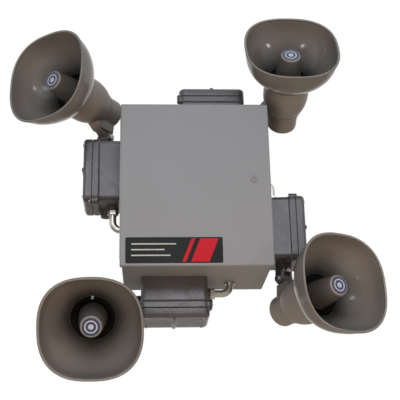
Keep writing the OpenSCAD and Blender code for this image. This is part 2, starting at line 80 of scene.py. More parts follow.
# %% [markdown]
# ## Building node trees in code
# Materials and Geometry Nodes are both trees of nodes. One small function feeds a node's inputs,
# with a number or with another node's output, and another adds a node and feeds it. The rest do
# sums, because sums are what both kinds of tree need most.

# %% Helpers for node trees
def feed(tree, node, inputs):
    """Feeds a node's inputs with values or with other nodes' outputs."""
    for key, value in inputs.items():
        if isinstance(value, bpy.types.NodeSocket):
            tree.links.new(value, node.inputs[key])
        else:
            node.inputs[key].default_value = value
    return node


def add(tree, kind, inputs=None, **options):
    """Adds a node, sets its options and feeds its inputs."""
    made = tree.nodes.new(kind)
    for option, value in options.items():
        setattr(made, option, value)
    return feed(tree, made, inputs or {})


def calc(tree, operation, first, second=0.0):
    """One sum in a tree; first and second are numbers or outputs."""
    return add(tree, "ShaderNodeMath", {0: first, 1: second}, operation=operation).outputs[0]


def between(tree, first, second, share):
    """A value between two values, by a share."""
    return calc(tree, "ADD", first, calc(tree, "MULTIPLY", calc(tree, "SUBTRACT", second, first), share))


def blend_colours(tree, share, first, second):
    """A colour between two colours, by a share from 0 to 1."""
    mixed = add(tree, "ShaderNodeMix", {0: share, 6: first, 7: second}, data_type="RGBA")
    return mixed.outputs[2]


def stretch(tree, value, low, high, to_low, to_high):
    """Spreads the values from low to high over another range, and holds them inside it."""
    sockets = {0: value, 1: low, 2: high, 3: to_low, 4: to_high}
    return add(tree, "ShaderNodeMapRange", sockets).outputs[0]


def noise(tree, where, scale, detail=2.0, rough=0.5):
    """A cloudy value from 0 to 1; scale is in waves to the metre."""
    sockets = {"Vector": where, "Scale": scale, "Detail": detail, "Roughness": rough}
    return add(tree, "ShaderNodeTexNoise", sockets).outputs[0]


print("node helpers ready")

# %% [markdown]
# ## What all finishes share
# Every finish starts with a shader and with Object coordinates, which are metres here, so a wave of
# one millimetre has a scale of a thousand. A Bevel node rounds the normals over along the edges,
# and a Bump node dents them by a height.

# %% Helpers for materials
BEVEL_SAMPLES = 4


def shade(colour, share):
    """A colour made darker or lighter by one share, with its alpha kept at 1."""
    return (*[min(1.0, c * share) for c in colour], 1.0)


def new_material(name):
    """A new material: itself, its tree, its shader, and the place on the piece in metres."""
    material = bpy.data.materials.new(name)
    material.use_nodes = True
    tree = material.node_tree
    where = add(tree, "ShaderNodeTexCoord").outputs["Object"]
    return material, tree, tree.nodes["Principled BSDF"], where


def rounded_normal(tree, radius):
    """The normal of a surface whose edges are rounded over."""
    return add(tree, "ShaderNodeBevel", {"Radius": radius}, samples=BEVEL_SAMPLES).outputs[0]


def bump(tree, height, strength, depth, under=None):
    """A normal that is dented by a height, over another normal if there is one."""
    sockets = {"Height": height, "Strength": strength, "Distance": depth}
    if under is not None:
        sockets["Normal"] = under
    return add(tree, "ShaderNodeBump", sockets).outputs[0]


print("material helpers ready")

# %% [markdown]
# ## Paint on steel and on castings
# Powder paint is never one flat colour. It has a fine orange-peel skin, it is a little cloudy, it
# polishes unevenly, and it thins out along the edges, which turn lighter; on the horns' inside, plug
# and rear casting the edges are darker instead, which is painted shade over their highlight. Noise
# gives all of that. The edges are found by comparing the true normal with the rounded one: the two
# differ only close to an edge. The cast boxes are rougher: they have pits and slow waves, and their
# paint holds some metal. Deep in the horns, where little of the sky is seen, the colour darkens and
# the gloss dulls as painted shade, which an Ambient Occlusion node tells.

# %% A function for every painted finish
CLOUD_SCALE = 9.0
SPECK_SCALE = 420.0
SPECK_SHARE = 0.25
POLISH_NOISE = (0.3, 0.7)
POLISH_SPREAD = (-0.05, 0.07)
EDGE_AGREEMENT = (0.98, 0.75)
EDGE_PATCH_SCALE = 60.0
EDGE_PATCH_NOISE = (0.4, 0.7)
EDGE_PATCH_MOST = 0.5
PEEL_SCALE = 620.0
PEEL_DEPTH = 0.0006
PIT_SCALE = 260.0
PIT_DETAIL = 5.0
PIT_ROUGHNESS = 0.65
WAVE_SCALE = 30.0
WAVE_DEPTH = 0.004
# The colour, reach and spread of the painted shade deep in the horns.
PAINTED_SHADE = (0.012, 0.015, 0.016, 1.0)
PAINTED_SHADE_REACH = 0.25
PAINTED_SHADE_SAMPLES = 32
PAINTED_SHADE_STARTS = 0.53
PAINTED_SHADE_FULL = 0.35


# The edge mask serves worn edges, which turn lighter, and on the horns painted shade, which turns them darker.
def edges_for_wear_and_shade(tree, where, rounded):
    """A patchy share that is highest along the edges and 0 on open faces."""
    true = add(tree, "ShaderNodeNewGeometry").outputs["Normal"]
    agree = add(tree, "ShaderNodeVectorMath", {0: rounded, 1: true}, operation="DOT_PRODUCT")
    near_edge = stretch(tree, agree.outputs["Value"], *EDGE_AGREEMENT, 0.0, 1.0)
    patches = stretch(tree, noise(tree, where, EDGE_PATCH_SCALE, 3.0), *EDGE_PATCH_NOISE, 0.0, EDGE_PATCH_MOST)
    return calc(tree, "MULTIPLY", near_edge, patches)


def painted_shade_share(tree, most):
    """The share of painted shade, which grows up to the most where little of the sky is seen."""
    reach = {"Distance": PAINTED_SHADE_REACH}
    sky = add(tree, "ShaderNodeAmbientOcclusion", reach, samples=PAINTED_SHADE_SAMPLES).outputs["AO"]
    return stretch(tree, sky, PAINTED_SHADE_STARTS, PAINTED_SHADE_FULL, 0.0, most)


def painted(name, colour, rough, peel, pits=0.0, edge=0.0009, cloud=0.07, shine=0.5,
            deep_shade=0.0, edge_wear_and_shade=1.2, waves=0.0, metal=0.0):
    """Paint with clouds, orange peel and an edge tone (above 1, lighter as wear; below 1, darker as painted
    shade), and with pits, waves or painted shade in deep places if asked for.
    """
    material, tree, surface, where = new_material(name)
    clouds = noise(tree, where, CLOUD_SCALE, 4.0)
    tone = between(tree, clouds, noise(tree, where, SPECK_SCALE), SPECK_SHARE)
    base = blend_colours(tree, tone, shade(colour, 1.0 - cloud), shade(colour, 1.0 + cloud))
    rounded = rounded_normal(tree, edge)
    base = blend_colours(tree, edges_for_wear_and_shade(tree, where, rounded), base, shade(colour, edge_wear_and_shade))
    feed(tree, surface, {"Metallic": metal, "Specular IOR Level": shine})
    # Painted shade: where little of the sky is seen, the colour darkens towards dark grey and the gloss dulls.
    if deep_shade:
        shaded_share = painted_shade_share(tree, deep_shade)
        base = blend_colours(tree, shaded_share, base, PAINTED_SHADE)
        dulled = calc(tree, "MULTIPLY", calc(tree, "SUBTRACT", 1.0, shaded_share), shine)
        feed(tree, surface, {"Specular IOR Level": dulled})
    height = noise(tree, where, PEEL_SCALE)
    if pits:
        grains = noise(tree, where, PIT_SCALE, PIT_DETAIL, PIT_ROUGHNESS)
        height = calc(tree, "ADD", height, calc(tree, "MULTIPLY", grains, pits))
    smooth = rounded
    if waves:
        smooth = bump(tree, noise(tree, where, WAVE_SCALE, 1.0), waves, WAVE_DEPTH, rounded)
    polish = stretch(tree, clouds, *POLISH_NOISE, *[rough + part for part in POLISH_SPREAD])
    normal = bump(tree, height, peel, PEEL_DEPTH, smooth)
    feed(tree, surface, {"Base Color": base, "Roughness": polish, "Normal": normal})
    return material


print("paint function ready")

# %% Mix the paints
# The door's grey is a little bluer than the cabinet's, which is painted cool light.
COOL_LIT_DOOR_GREY = (0.252, 0.262, 0.284)
CABINET_GREY = (0.238, 0.236, 0.236)
CASTING_GREY = (0.088, 0.083, 0.087)
HORN_TAUPE = (0.236, 0.216, 0.200)
# The bells' outside is painted darker than the inside, as painted shade.
SHADED_TAUPE = (0.160, 0.148, 0.138)
SHEET_COAT = dict(rough=0.48, peel=0.10, shine=0.3)
CAST_COAT = dict(pits=1.2, edge=0.0016, waves=0.32, metal=0.3)
# An edge tone below 1 paints the horns' edges darker: painted shade over their highlight.
HORN_COAT = dict(colour=HORN_TAUPE, edge_wear_and_shade=0.8)

PAINTS = {
    "cabinet_paint": dict(SHEET_COAT, colour=CABINET_GREY),
    "door_paint": dict(SHEET_COAT, colour=COOL_LIT_DOOR_GREY, cloud=0.03),
    "casting_paint": dict(CAST_COAT, colour=CASTING_GREY, rough=0.27, peel=0.16, shine=0.4),
    "horn_paint": dict(HORN_COAT, rough=0.13, peel=0.04, cloud=0.05, shine=0.4, deep_shade=0.97),
    "plug_paint": dict(HORN_COAT, rough=0.20, peel=0.05, cloud=0.05, shine=0.4, deep_shade=0.55),
    "casting_outside": dict(HORN_COAT, rough=0.42, peel=0.08, shine=0.2, deep_shade=0.45),
    "bell_outside": dict(colour=SHADED_TAUPE, rough=0.20, peel=0.05, cloud=0.06, shine=0.3, edge_wear_and_shade=1.1),
}
FINISH = {name: painted(name, **look) for name, look in PAINTS.items()}
print("painted finishes:", ", ".join(FINISH))

# %% [markdown]
# ## Steel and rubber
# The conduits, the tilt bolts, the hinge and the screws are plated steel: metal, with a slightly
# smeared gloss. The strip that seals the door is foam rubber, black and matt, and full of small
# closed cells.

# %% Plated steel and foam rubber
STEEL = (0.52, 0.52, 0.53)
CONDUIT_GREY = (0.54, 0.50, 0.46)
RUBBER = (0.016, 0.016, 0.017)
SMEAR_SCALE = 45.0
SMEAR_SHADES = (0.82, 1.12)
SMEAR_SPREAD = 0.16
ROLLING_SCALE = 900.0
ROLLING_DEPTH = 0.0003
ROLLING_STRENGTH = 0.08
PLATED_EDGE_R = 0.0006
CELL_SCALE = 700.0
CELL_SHADES = (0.7, 1.6)
CELL_DEPTH = 0.0005
CELL_STRENGTH = 0.5
RUBBER_ROUGHNESS = 0.85


def plated(name, colour, rough):
    """Plated metal with a cloudy gloss and fine rolling marks."""
    material, tree, surface, where = new_material(name)
    smears = noise(tree, where, SMEAR_SCALE, 4.0)
    base = blend_colours(tree, smears, *[shade(colour, share) for share in SMEAR_SHADES])
    polish = stretch(tree, smears, *POLISH_NOISE, rough, rough + SMEAR_SPREAD)
    rounded = rounded_normal(tree, PLATED_EDGE_R)
    rolling = noise(tree, where, ROLLING_SCALE)
    marks = bump(tree, rolling, ROLLING_STRENGTH, ROLLING_DEPTH, rounded)
    feed(tree, surface, {"Base Color": base, "Metallic": 1.0, "Roughness": polish, "Normal": marks})
    return material


def foam(name, colour):
    """Closed-cell foam rubber: matt, with a skin of small cells."""
    material, tree, surface, where = new_material(name)
    sockets = {"Vector": where, "Scale": CELL_SCALE}
    cells = add(tree, "ShaderNodeTexVoronoi", sockets).outputs["Distance"]
    base = blend_colours(tree, cells, *[shade(colour, share) for share in CELL_SHADES])
    dents = bump(tree, cells, CELL_STRENGTH, CELL_DEPTH)
    feed(tree, surface, {"Base Color": base, "Roughness": RUBBER_ROUGHNESS, "Normal": dents})
    return material


FINISH["bright_steel"] = plated("bright_steel", STEEL, 0.30)
FINISH["conduit_metal"] = plated("conduit_metal", CONDUIT_GREY, 0.26)
FINISH["gasket_rubber"] = foam("gasket_rubber", RUBBER)
print("finishes:", ", ".join(sorted(FINISH)))

# %% [markdown]
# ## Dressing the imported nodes
# The record says which material slot each node belongs to, so a loop can hand out the finishes.
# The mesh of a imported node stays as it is: only its material slot is filled.

# %% Hand the finishes to the nodes
SLOT = {part["node"]: part["material_slot"] for part in record["subparts"]}

for name, part in frame["nodes"].items():
    part.data.materials.clear()
    part.data.materials.append(FINISH[SLOT[name]])
print("dressed", len(frame["nodes"]), "nodes")

# %% [markdown]
# ## Skins and lathes
# Most small parts are a skin over a few rings of points: a lathe part has round rings, a casting
# has rectangles with round corners. The rings are joined by faces, the ends are capped, doubles are
# merged and the normals are turned outwards. Edges get a few close points, which keep the flats
# flat and leave a soft line of light.

# %% Helpers for shapes
WELD = 1e-7
SMALL_POINTS = 36
SOFT = 0.0011
SOFT_EDGE_SHARES = ((1.0, 0.0), (0.3, 0.3), (0.0, 1.0))


def skin(rings, looped=False):
    """A closed mesh over rings that have the same number of points."""
    bm = bmesh.new()
    rows = [[bm.verts.new(point) for point in ring] for ring in rings]
    pairs = list(zip(rows, rows[1:]))
    if looped:
        pairs.append((rows[-1], rows[0]))
    for low, high in pairs:
        for k in range(len(low)):
            bm.faces.new((low[k - 1], low[k], high[k], high[k - 1]))
    if not looped:
        bm.faces.new(rows[0][::-1])
        bm.faces.new(rows[-1])
    bmesh.ops.remove_doubles(bm, verts=bm.verts, dist=WELD)
    bmesh.ops.recalc_face_normals(bm, faces=bm.faces)
    return bm


def round_ring(radius, height, points):
    """A circle about the z axis."""
    turns = [2.0 * math.pi * k / points for k in range(points)]
    return [Vector((radius * math.cos(t), radius * math.sin(t), height)) for t in turns]


def hex_ring(across, height, points=SMALL_POINTS):
    """A hexagon about the z axis, with as many points as a small round ring."""
    sixth = math.pi / 3.0
    turns = [2.0 * math.pi * k / points for k in range(points)]
    reach = [across / 2.0 / math.cos(t % sixth - sixth / 2.0) for t in turns]
    return [Vector((r * math.cos(t), r * math.sin(t), height)) for r, t in zip(reach, turns)]


def rounded_rect(length, width, corner, steps=8, hold=0.0012):
    """Points (x, y) round a rectangle with round corners, with a held point beside each corner."""
    points = []
    for quarter in range(4):
        middle_x = (length / 2.0 - corner) * (1 if quarter in (0, 3) else -1)
        middle_y = (width / 2.0 - corner) * (1 if quarter < 2 else -1)
        for step in range(-1, steps + 2):
            turn = math.pi / 2.0 * (quarter + min(max(step, 0), steps) / steps)
            slide = hold * (min(step, 0) + max(step - steps, 0))
            x = middle_x + corner * math.cos(turn) - slide * math.sin(turn)
            y = middle_y + corner * math.sin(turn) + slide * math.cos(turn)
            points.append((x, y))
    return points


def lathe(profile, points=40, looped=False):
    """A turned part from (radius, height) pairs, about the z axis."""
    return skin([round_ring(radius, height, points) for radius, height in profile], looped=looped)


def socket_head(profile, socket):
    """A turned head from (radius, height) pairs, with a hexagon socket from (across, height) pairs."""
    rings = [round_ring(radius, height, SMALL_POINTS) for radius, height in profile]
    return skin(rings + [hex_ring(across, height) for across, height in socket])


def plate(length, width, corner, low, high, steps=8):
    """A flat plate with round corners, from one height to another."""
    outline = rounded_rect(length, width, corner, steps, corner / 8.0)
    return skin([[Vector((x, y, height)) for x, y in outline] for height in (low, high)])


def quarter_round(radius, steps=6):
    """A quarter circle as (inset, rise) pairs, from its upright foot to its level head."""
    turns = [math.pi / 2.0 * k / steps for k in range(steps + 1)]
    return [(radius * (1.0 - math.cos(t)), radius * math.sin(t)) for t in turns]


def soft_edge(reach, level, way):
    """Three close points round an edge; the band lies above the level for a way of 1, below for -1."""
    return [(reach - back * SOFT, level + way * rise * SOFT) for back, rise in SOFT_EDGE_SHARES]


def edge_band(radius, low, high, inner):
    """A raised band with soft edges, as (radius, height) pairs."""
    return [(inner, low)] + soft_edge(radius, low, 1.0) + soft_edge(radius, high, -1.0)[::-1]


print("shape helpers ready")

# %% [markdown]
# ## Finished pieces
# A finished piece sits at the origin with its place in its mesh, rides on a body and takes its
# finish from a slot's name. A piece that is finer than a imported node takes that node's place.

# %% Helpers for pieces
SHARP_DEG = 38.0


def moved(bm, *matrices):
    """A bmesh carried through one matrix after another."""
    for matrix in matrices:
        bmesh.ops.transform(bm, matrix=matrix, verts=bm.verts)
    return bm


def in_colour(bm, index):
    """A bmesh whose faces all take one of the mesh's materials."""
    for face in bm.faces:
        face.material_index = index
    return bm


def joined(parts):
    """Several meshes in one, each still closed."""
    whole = bmesh.new()
    for part in parts:
        scrap = bpy.data.meshes.new("scrap")
        part.to_mesh(scrap)
        part.free()
        whole.from_mesh(scrap)
        bpy.data.meshes.remove(scrap)
    return whole


def as_mesh(name, bm, *materials):
    """A mesh with its materials, from a bmesh that is used up."""
    mesh = bpy.data.meshes.new(name)
    bm.to_mesh(mesh)
    bm.free()
    for material in materials:
        mesh.materials.append(material)
    return mesh


def settle(name, mesh, body, place, stands_for=()):
    """Puts a mesh in its place as a finished piece that rides on a body."""
    mesh.transform(place)
    mesh.shade_smooth()
    mesh.set_sharp_from_angle(angle=math.radians(SHARP_DEG))
    piece = bpy.data.objects.new(name, mesh)
    bpy.context.scene.collection.objects.link(piece)
    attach(piece, body)
    if stands_for:
        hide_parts(*stands_for)
    return piece


def stand_in(name, bm, node, body, place, *finishes):
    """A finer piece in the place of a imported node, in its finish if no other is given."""
    mesh = as_mesh(name, bm, *(finishes or [FINISH[SLOT[node]]]))
    return settle(name, mesh, body, place, [node])


def small_piece(name, bm, slot, body, place):
    """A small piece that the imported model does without."""
    return settle(name, as_mesh(name, bm, FINISH[slot]), body, place)


UPRIGHT_TO_X = Matrix.Rotation(math.radians(90.0), 4, "Y")
UPRIGHT_TO_MINUS_X = Matrix.Rotation(math.radians(-90.0), 4, "Y")
UPRIGHT_TO_Y = Matrix.Rotation(math.radians(-90.0), 4, "X")
UPRIGHT_TO_MINUS_Y = Matrix.Rotation(math.radians(90.0), 4, "X")
print("piece helpers ready")

# %% [markdown]
# ## Where each horn points
# Every horn has its own aim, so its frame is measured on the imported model. The flat back of the
# centre plug is the plug's largest flat face: it is square to the horn's axis and centred on it.
# The tilt joint gives the bolt that the horn hangs on. Together they give the horn's own frame: z
# runs forward along the horn, x leads from the bolt to the axis, and z = 0 is level with the bolt.

# %% Measure the four horns
def largest_flat_face(node):
    """Centre and direction of a node's largest flat face."""
    found = {}
    for face in frame["nodes"][node].data.polygons:
        key = tuple(round(part, 2) for part in face.normal)
        area, moment, normal = found.get(key, (0.0, Vector(), Vector()))
        found[key] = (area + face.area, moment + face.area * face.center, normal + face.area * face.normal)
    area, moment, normal = max(found.values(), key=lambda row: row[0])
    return moment / area, normal.normalized()


def horn_frame(unit):
    """The matrix that carries a horn's own frame into the part's frame."""
    base, backward = largest_flat_face(unit + "_horn_plug")
    pivot = Vector(joints[unit + "_tilt"]["pos_m"])
    forward = -backward
    rise = base - pivot
    rise -= rise.dot(forward) * forward
    across = forward.cross(rise.normalized())
    place = Matrix((rise.normalized(), across, forward)).transposed().to_4x4()
    place.translation = pivot + rise
    return place


def seen_from(place, node):
    """Lowest and highest corner of a node in another frame."""
    back = place.inverted()
    points = [back @ vertex.co for vertex in frame["nodes"][node].data.vertices]
    low = Vector([min(point[k] for point in points) for k in range(3)])
    high = Vector([max(point[k] for point in points) for k in range(3)])
    return low, high


AIM = {unit: horn_frame(unit) for unit in UNITS}
bell_low, bell_high = seen_from(AIM["top"], "top_horn_bell")
plug_low, plug_high = seen_from(AIM["top"], "top_horn_plug")
MOUTH_R = bell_high.x
MOUTH_Z = bell_high.z
NECK_Z = bell_low.z
PLUG_TIP_Z = plug_high.z
PLUG_BASE_Z = plug_low.z
PLUG_BASE_R = plug_high.x
print("mouth", round(2000 * MOUTH_R), "mm wide, bell", round(1000 * (MOUTH_Z - NECK_Z)), "mm long")

# %% [markdown]
# ## The bell, by a rule
# The bell starts as a round neck and opens into a rounded square. A rounded square is a circle
# whose cosine and sine are raised to a power, so one formula covers the whole bell: the power and
# the radius both follow the share of the way from neck to mouth. Geometry Nodes can bend a flat
# grid by that formula. Rows run up the outside, over the edge and back down the inside, and the
# last row meets the first, so that the wall is closed. A tube along the mouth is the rolled bead.
# The outside faces take a darker paint than the inside, which is painted shade.

# %% Helpers for Geometry Nodes
def geometry_tree(name, inputs):
    """A new tree with named inputs; gives the tree and its input sockets."""
    tree = bpy.data.node_groups.new(name, "GeometryNodeTree")
    for label, kind in inputs.items():
        tree.interface.new_socket(label, in_out="INPUT", socket_type="NodeSocket" + kind)
    tree.interface.new_socket("Geometry", in_out="OUTPUT", socket_type="NodeSocketGeometry")
    return tree, tree.nodes.new("NodeGroupInput").outputs


def position(tree):
    """x, y and z of every point, as outputs."""
    spot = add(tree, "GeometryNodeInputPosition").outputs[0]
    return add(tree, "ShaderNodeSeparateXYZ", {0: spot}).outputs


def bent(tree, shape, x, y, z):
    """A shape whose points are carried to new places."""
    spot = add(tree, "ShaderNodeCombineXYZ", {0: x, 1: y, 2: z}).outputs[0]
    return add(tree, "GeometryNodeSetPosition", {"Geometry": shape, "Position": spot}).outputs[0]


def end_tree(tree, shape, material):
    """Ends a tree: instances made real, material set, result handed out."""
    real = add(tree, "GeometryNodeRealizeInstances", {"Geometry": shape}).outputs[0]
    dressed = add(tree, "GeometryNodeSetMaterial", {"Geometry": real, "Material": material}).outputs[0]
    add(tree, "NodeGroupOutput", {0: dressed})


def grow(tree, values):
    """Runs a tree once with the given input values and keeps the result as a plain mesh."""
    holder = bpy.data.objects.new(tree.name, bpy.data.meshes.new(tree.name))
    modifier = holder.modifiers.new(tree.name, "NODES")
    modifier.node_group = tree
    for item in tree.interface.items_tree:
        if item.in_out == "INPUT" and item.name in values:
            modifier[item.identifier] = values[item.name]
    bpy.context.scene.collection.objects.link(holder)
    bpy.context.view_layer.update()
    graph = bpy.context.evaluated_depsgraph_get()
    mesh = bpy.data.meshes.new_from_object(holder.evaluated_get(graph))
    bpy.data.objects.remove(holder)
    return mesh


def tidied(mesh, material):
    """The mesh with doubles merged, every face turned outwards and no empty material slot."""
    bm = bmesh.new()
    bm.from_mesh(mesh)
    bmesh.ops.remove_doubles(bm, verts=bm.verts, dist=WELD)
    bmesh.ops.recalc_face_normals(bm, faces=bm.faces)
    in_colour(bm, 0).to_mesh(mesh)
    bm.free()
    mesh.materials.clear()
    mesh.materials.append(material)
    return mesh


print("Geometry Nodes helpers ready")

# %% The tree that bends a grid into a bell
BEAD_OUT_SHARE = 0.1


def rounded_square(tree, radius, turn, power):
    """x and y of a rounded square at an angle; a power of 2 gives a circle."""
    bend = calc(tree, "DIVIDE", 2.0, power)
    sides = []
    for wave in ("COSINE", "SINE"):
        swing = calc(tree, wave, turn)
        size = calc(tree, "POWER", calc(tree, "ABSOLUTE", swing), bend)
        signed = calc(tree, "MULTIPLY", calc(tree, "SIGN", swing), size)
        sides.append(calc(tree, "MULTIPLY", radius, signed))
    return sides


def bell_wall(tree, given):
    """The wall: a grid bent into a closed skin with an outside and an inside."""
    half = calc(tree, "ADD", given["Rings"], 0.5)
    last_row = calc(tree, "ADD", calc(tree, "MULTIPLY", half, 2.0), 1.0)
    sizes = {"Size X": last_row, "Size Y": given["Sides"]}
    sizes["Vertices X"] = calc(tree, "ADD", last_row, 1.0)
    sizes["Vertices Y"] = calc(tree, "ADD", given["Sides"], 1.0)
    grid = add(tree, "GeometryNodeMeshGrid", sizes).outputs["Mesh"]
    spot = position(tree)
    row = calc(tree, "ADD", spot["X"], calc(tree, "MULTIPLY", last_row, 0.5))
    turn = calc(tree, "MULTIPLY", calc(tree, "DIVIDE", spot["Y"], given["Sides"]), 2.0 * math.pi)
    climb = calc(tree, "SUBTRACT", half, calc(tree, "ABSOLUTE", calc(tree, "SUBTRACT", row, half)))
    share = calc(tree, "DIVIDE", calc(tree, "MAXIMUM", climb, 0.0), given["Rings"])
    past_rim = calc(tree, "GREATER_THAN", row, half)
    before_end = calc(tree, "LESS_THAN", row, calc(tree, "SUBTRACT", last_row, 0.5))
    inside = calc(tree, "MULTIPLY", past_rim, before_end)
    to_go = calc(tree, "POWER", calc(tree, "SUBTRACT", 1.0, share), given["Flare"])
    flare = calc(tree, "SUBTRACT", 1.0, to_go)
    outer = between(tree, given["Neck Radius"], given["Rim Radius"], flare)
    inner_rim = calc(tree, "SUBTRACT", given["Rim Radius"], given["Wall"])
    inner = between(tree, given["Throat Radius"], inner_rim, flare)
    power = between(tree, 2.0, given["Squareness"], share)
    x, y = rounded_square(tree, between(tree, outer, inner, inside), turn, power)
    return bent(tree, grid, x, y, between(tree, given["Neck Height"], given["Rim Height"], share))


def bell_bead(tree, given):
    """The bead: a tube along the mouth."""
    sizes = {"Resolution": given["Sides"], "Radius": 1.0}
    circle = add(tree, "GeometryNodeCurvePrimitiveCircle", sizes).outputs[0]
    spot = position(tree)
    around = calc(tree, "ARCTAN2", spot["Y"], spot["X"])
    outwards = calc(tree, "MULTIPLY", given["Wall"], BEAD_OUT_SHARE)
    line = calc(tree, "ADD", given["Rim Radius"], outwards)
    x, y = rounded_square(tree, line, around, given["Squareness"])
    path = bent(tree, circle, x, y, calc(tree, "SUBTRACT", given["Mouth Height"], given["Bead Radius"]))
    sizes = {"Resolution": given["Bead Points"], "Radius": given["Bead Radius"]}
    tube = add(tree, "GeometryNodeCurvePrimitiveCircle", sizes).outputs[0]
    return add(tree, "GeometryNodeCurveToMesh", {"Curve": path, "Profile Curve": tube}).outputs[0]


def bell_tree():
    """A bell whose wall is one closed skin, with a rolled bead round its mouth."""
    wall = ("Neck Radius", "Throat Radius", "Rim Radius", "Wall", "Neck Height", "Rim Height")
    mouth = ("Squareness", "Flare", "Bead Radius", "Mouth Height")
    inputs = {label: "Float" for label in wall + mouth}
    inputs.update({label: "Int" for label in ("Rings", "Sides", "Bead Points")})
    inputs["Material"] = "Material"
    tree, given = geometry_tree("horn_bell", inputs)
    both = add(tree, "GeometryNodeJoinGeometry")
    for shape in (bell_wall(tree, given), bell_bead(tree, given)):
        tree.links.new(shape, both.inputs[0])
    end_tree(tree, both.outputs[0], given["Material"])
    return tree


BELL_TREE = bell_tree()
print("bell tree has", len(BELL_TREE.nodes), "nodes")

# %% Grow the bells and hang them on the horns
LIP_W = 0.003
LIP_H = 0.005
BELL_WALL = 0.003
BEAD_R = 0.00285
BEAD_POINTS = 14
THROAT_R = 0.053
NECK_R = 0.0586
MOUTH_SQUARENESS = 2.53
BELL_FLARE = 2.4
BELL_RINGS = 30
BELL_SIDES = 120

BELL_VALUES = {
    "Neck Radius": NECK_R,
    "Throat Radius": THROAT_R,
    "Rim Radius": MOUTH_R - LIP_W,
    "Wall": BELL_WALL,
    "Neck Height": NECK_Z,
    "Rim Height": MOUTH_Z - LIP_H,
    "Squareness": MOUTH_SQUARENESS,
    "Flare": BELL_FLARE,
    "Bead Radius": BEAD_R,
    "Mouth Height": MOUTH_Z,
    "Rings": BELL_RINGS,
    "Sides": BELL_SIDES,
    "Bead Points": BEAD_POINTS,
    "Material": FINISH["horn_paint"],
}


def shaded_outside(mesh):
    """The bell with a darker paint, as painted shade, on the faces that look away from its axis."""
    mesh.materials.append(FINISH["bell_outside"])
    for face in mesh.polygons:
        outward = face.center.x * face.normal.x + face.center.y * face.normal.y
        face.material_index = 1 if outward > 0.0 else 0
    return mesh


for unit in UNITS:
    node = unit + "_horn_bell"
    bell = shaded_outside(tidied(grow(BELL_TREE, BELL_VALUES), FINISH["horn_paint"]))
    settle(unit + "_bell", bell, unit + "_horn", AIM[unit], [node])
print("four bells of", len(bell.polygons), "faces each")

# %% [markdown]
# ## The horn's rear casting
# Behind the bell sits one casting: the driver can, a ring, a shoulder that swells out to the neck,
# a flange for the bell and the open throat. It is a turned part, so a profile and a lathe make it.
# Its outside is duller than the bell, and its throat has the bell's own finish. The arm that hangs
# on the tilt bolt is a skin over rounded rectangles, thin between the ears of the fork and thick
# above them.

# %% Turn the can, the shoulder and the throat
BODY_POINTS = 72
CAN_R = 0.0385
CAN_BACK = 0.023
CAN_FRONT = 0.034
CAN_END_R = 0.008
RING_H = 0.006
RING_LIP = 0.0045
SHOULDER_R = 0.0575
SHOULDER_L = 0.054
SHOULDER_STEPS = 18
NECK_FLANGE_H = 0.006
NECK_FLANGE_R = 0.0606
THROAT_FLOOR_R = 0.024
THROAT_FLOOR_Z = 0.076
TONE_ARM_R = 0.015


def body_profile():
    """The casting's profile, from the back of the can round to the end of the tone arm."""
    side_z = CAN_END_R - CAN_BACK
    profile = [(CAN_R - CAN_END_R - SOFT, -CAN_BACK)]
    profile += [(CAN_R - inset, side_z - rise) for inset, rise in reversed(quarter_round(CAN_END_R))]
    profile.append((CAN_R, side_z + SOFT))
    profile += edge_band(CAN_R + RING_LIP, CAN_FRONT - RING_H, CAN_FRONT, CAN_R)
    swell = SHOULDER_R - CAN_R - RING_LIP
    for k in range(1, SHOULDER_STEPS + 1):
        share = k / SHOULDER_STEPS
        profile.append((SHOULDER_R - swell * (1.0 - share) ** 2, CAN_FRONT + SHOULDER_L * share))
    profile += edge_band(NECK_FLANGE_R, NECK_Z - NECK_FLANGE_H, NECK_Z, SHOULDER_R)
    profile += [(THROAT_R, NECK_Z), (THROAT_FLOOR_R, THROAT_FLOOR_Z), (TONE_ARM_R, THROAT_FLOOR_Z)]
    profile.append((TONE_ARM_R, PLUG_BASE_Z))
    return profile


print("casting profile of", len(body_profile()), "points")

# %% Skin the arm and join it to the casting
HORN_RISE = 0.077
TONGUE_R = 0.012
TONGUE_HALF = 0.010
TONGUE_CORNER_R = 0.002
TONGUE_OVERLAP = 0.002
ARM_HALF = 0.017
ARM_CORNER_R = 0.007
ARM_LOW = 0.015
ARM_TOP = 0.0485
ARM_TOP_BACK = -0.019
ARM_TOP_FRONT = 0.088
ARM_SOFT_EDGE = ((0.0, 0.0014), (0.0004, 0.0004), (0.0014, 0.0), (0.003, 0.0))
CASTING_FINISHES = (FINISH["casting_outside"], FINISH["horn_paint"])


def arm_ring(up, half, corner, trim=0.0):
    """A section through the arm at a height over the tilt bolt."""
    share = up / ARM_TOP
    back = -TONGUE_R + share * (ARM_TOP_BACK + TONGUE_R) + trim
    front = TONGUE_R + share * (ARM_TOP_FRONT - TONGUE_R) - trim
    outline = rounded_rect(2.0 * (half - trim), front - back, corner)
    return [Vector((up - HORN_RISE, y, (front + back) / 2.0 + z)) for y, z in outline]


def arm_parts():
    """The eye round the bolt, the thin tongue and the thick arm."""
    to_bolt = Matrix.Translation((-HORN_RISE, 0.0, 0.0))
    eye = lathe(edge_band(TONGUE_R, -TONGUE_HALF, TONGUE_HALF, TONGUE_R / 2.0))
    ends = (0.0, ARM_LOW + TONGUE_OVERLAP)
    tongue = skin([arm_ring(up, TONGUE_HALF, TONGUE_CORNER_R) for up in ends])
    rings = [arm_ring(ARM_LOW + up, ARM_HALF, ARM_CORNER_R, trim) for up, trim in ARM_SOFT_EDGE]
    rings.append(arm_ring(ARM_TOP, ARM_HALF, ARM_CORNER_R))
    return [moved(eye, UPRIGHT_TO_Y, to_bolt), tongue, skin(rings)]


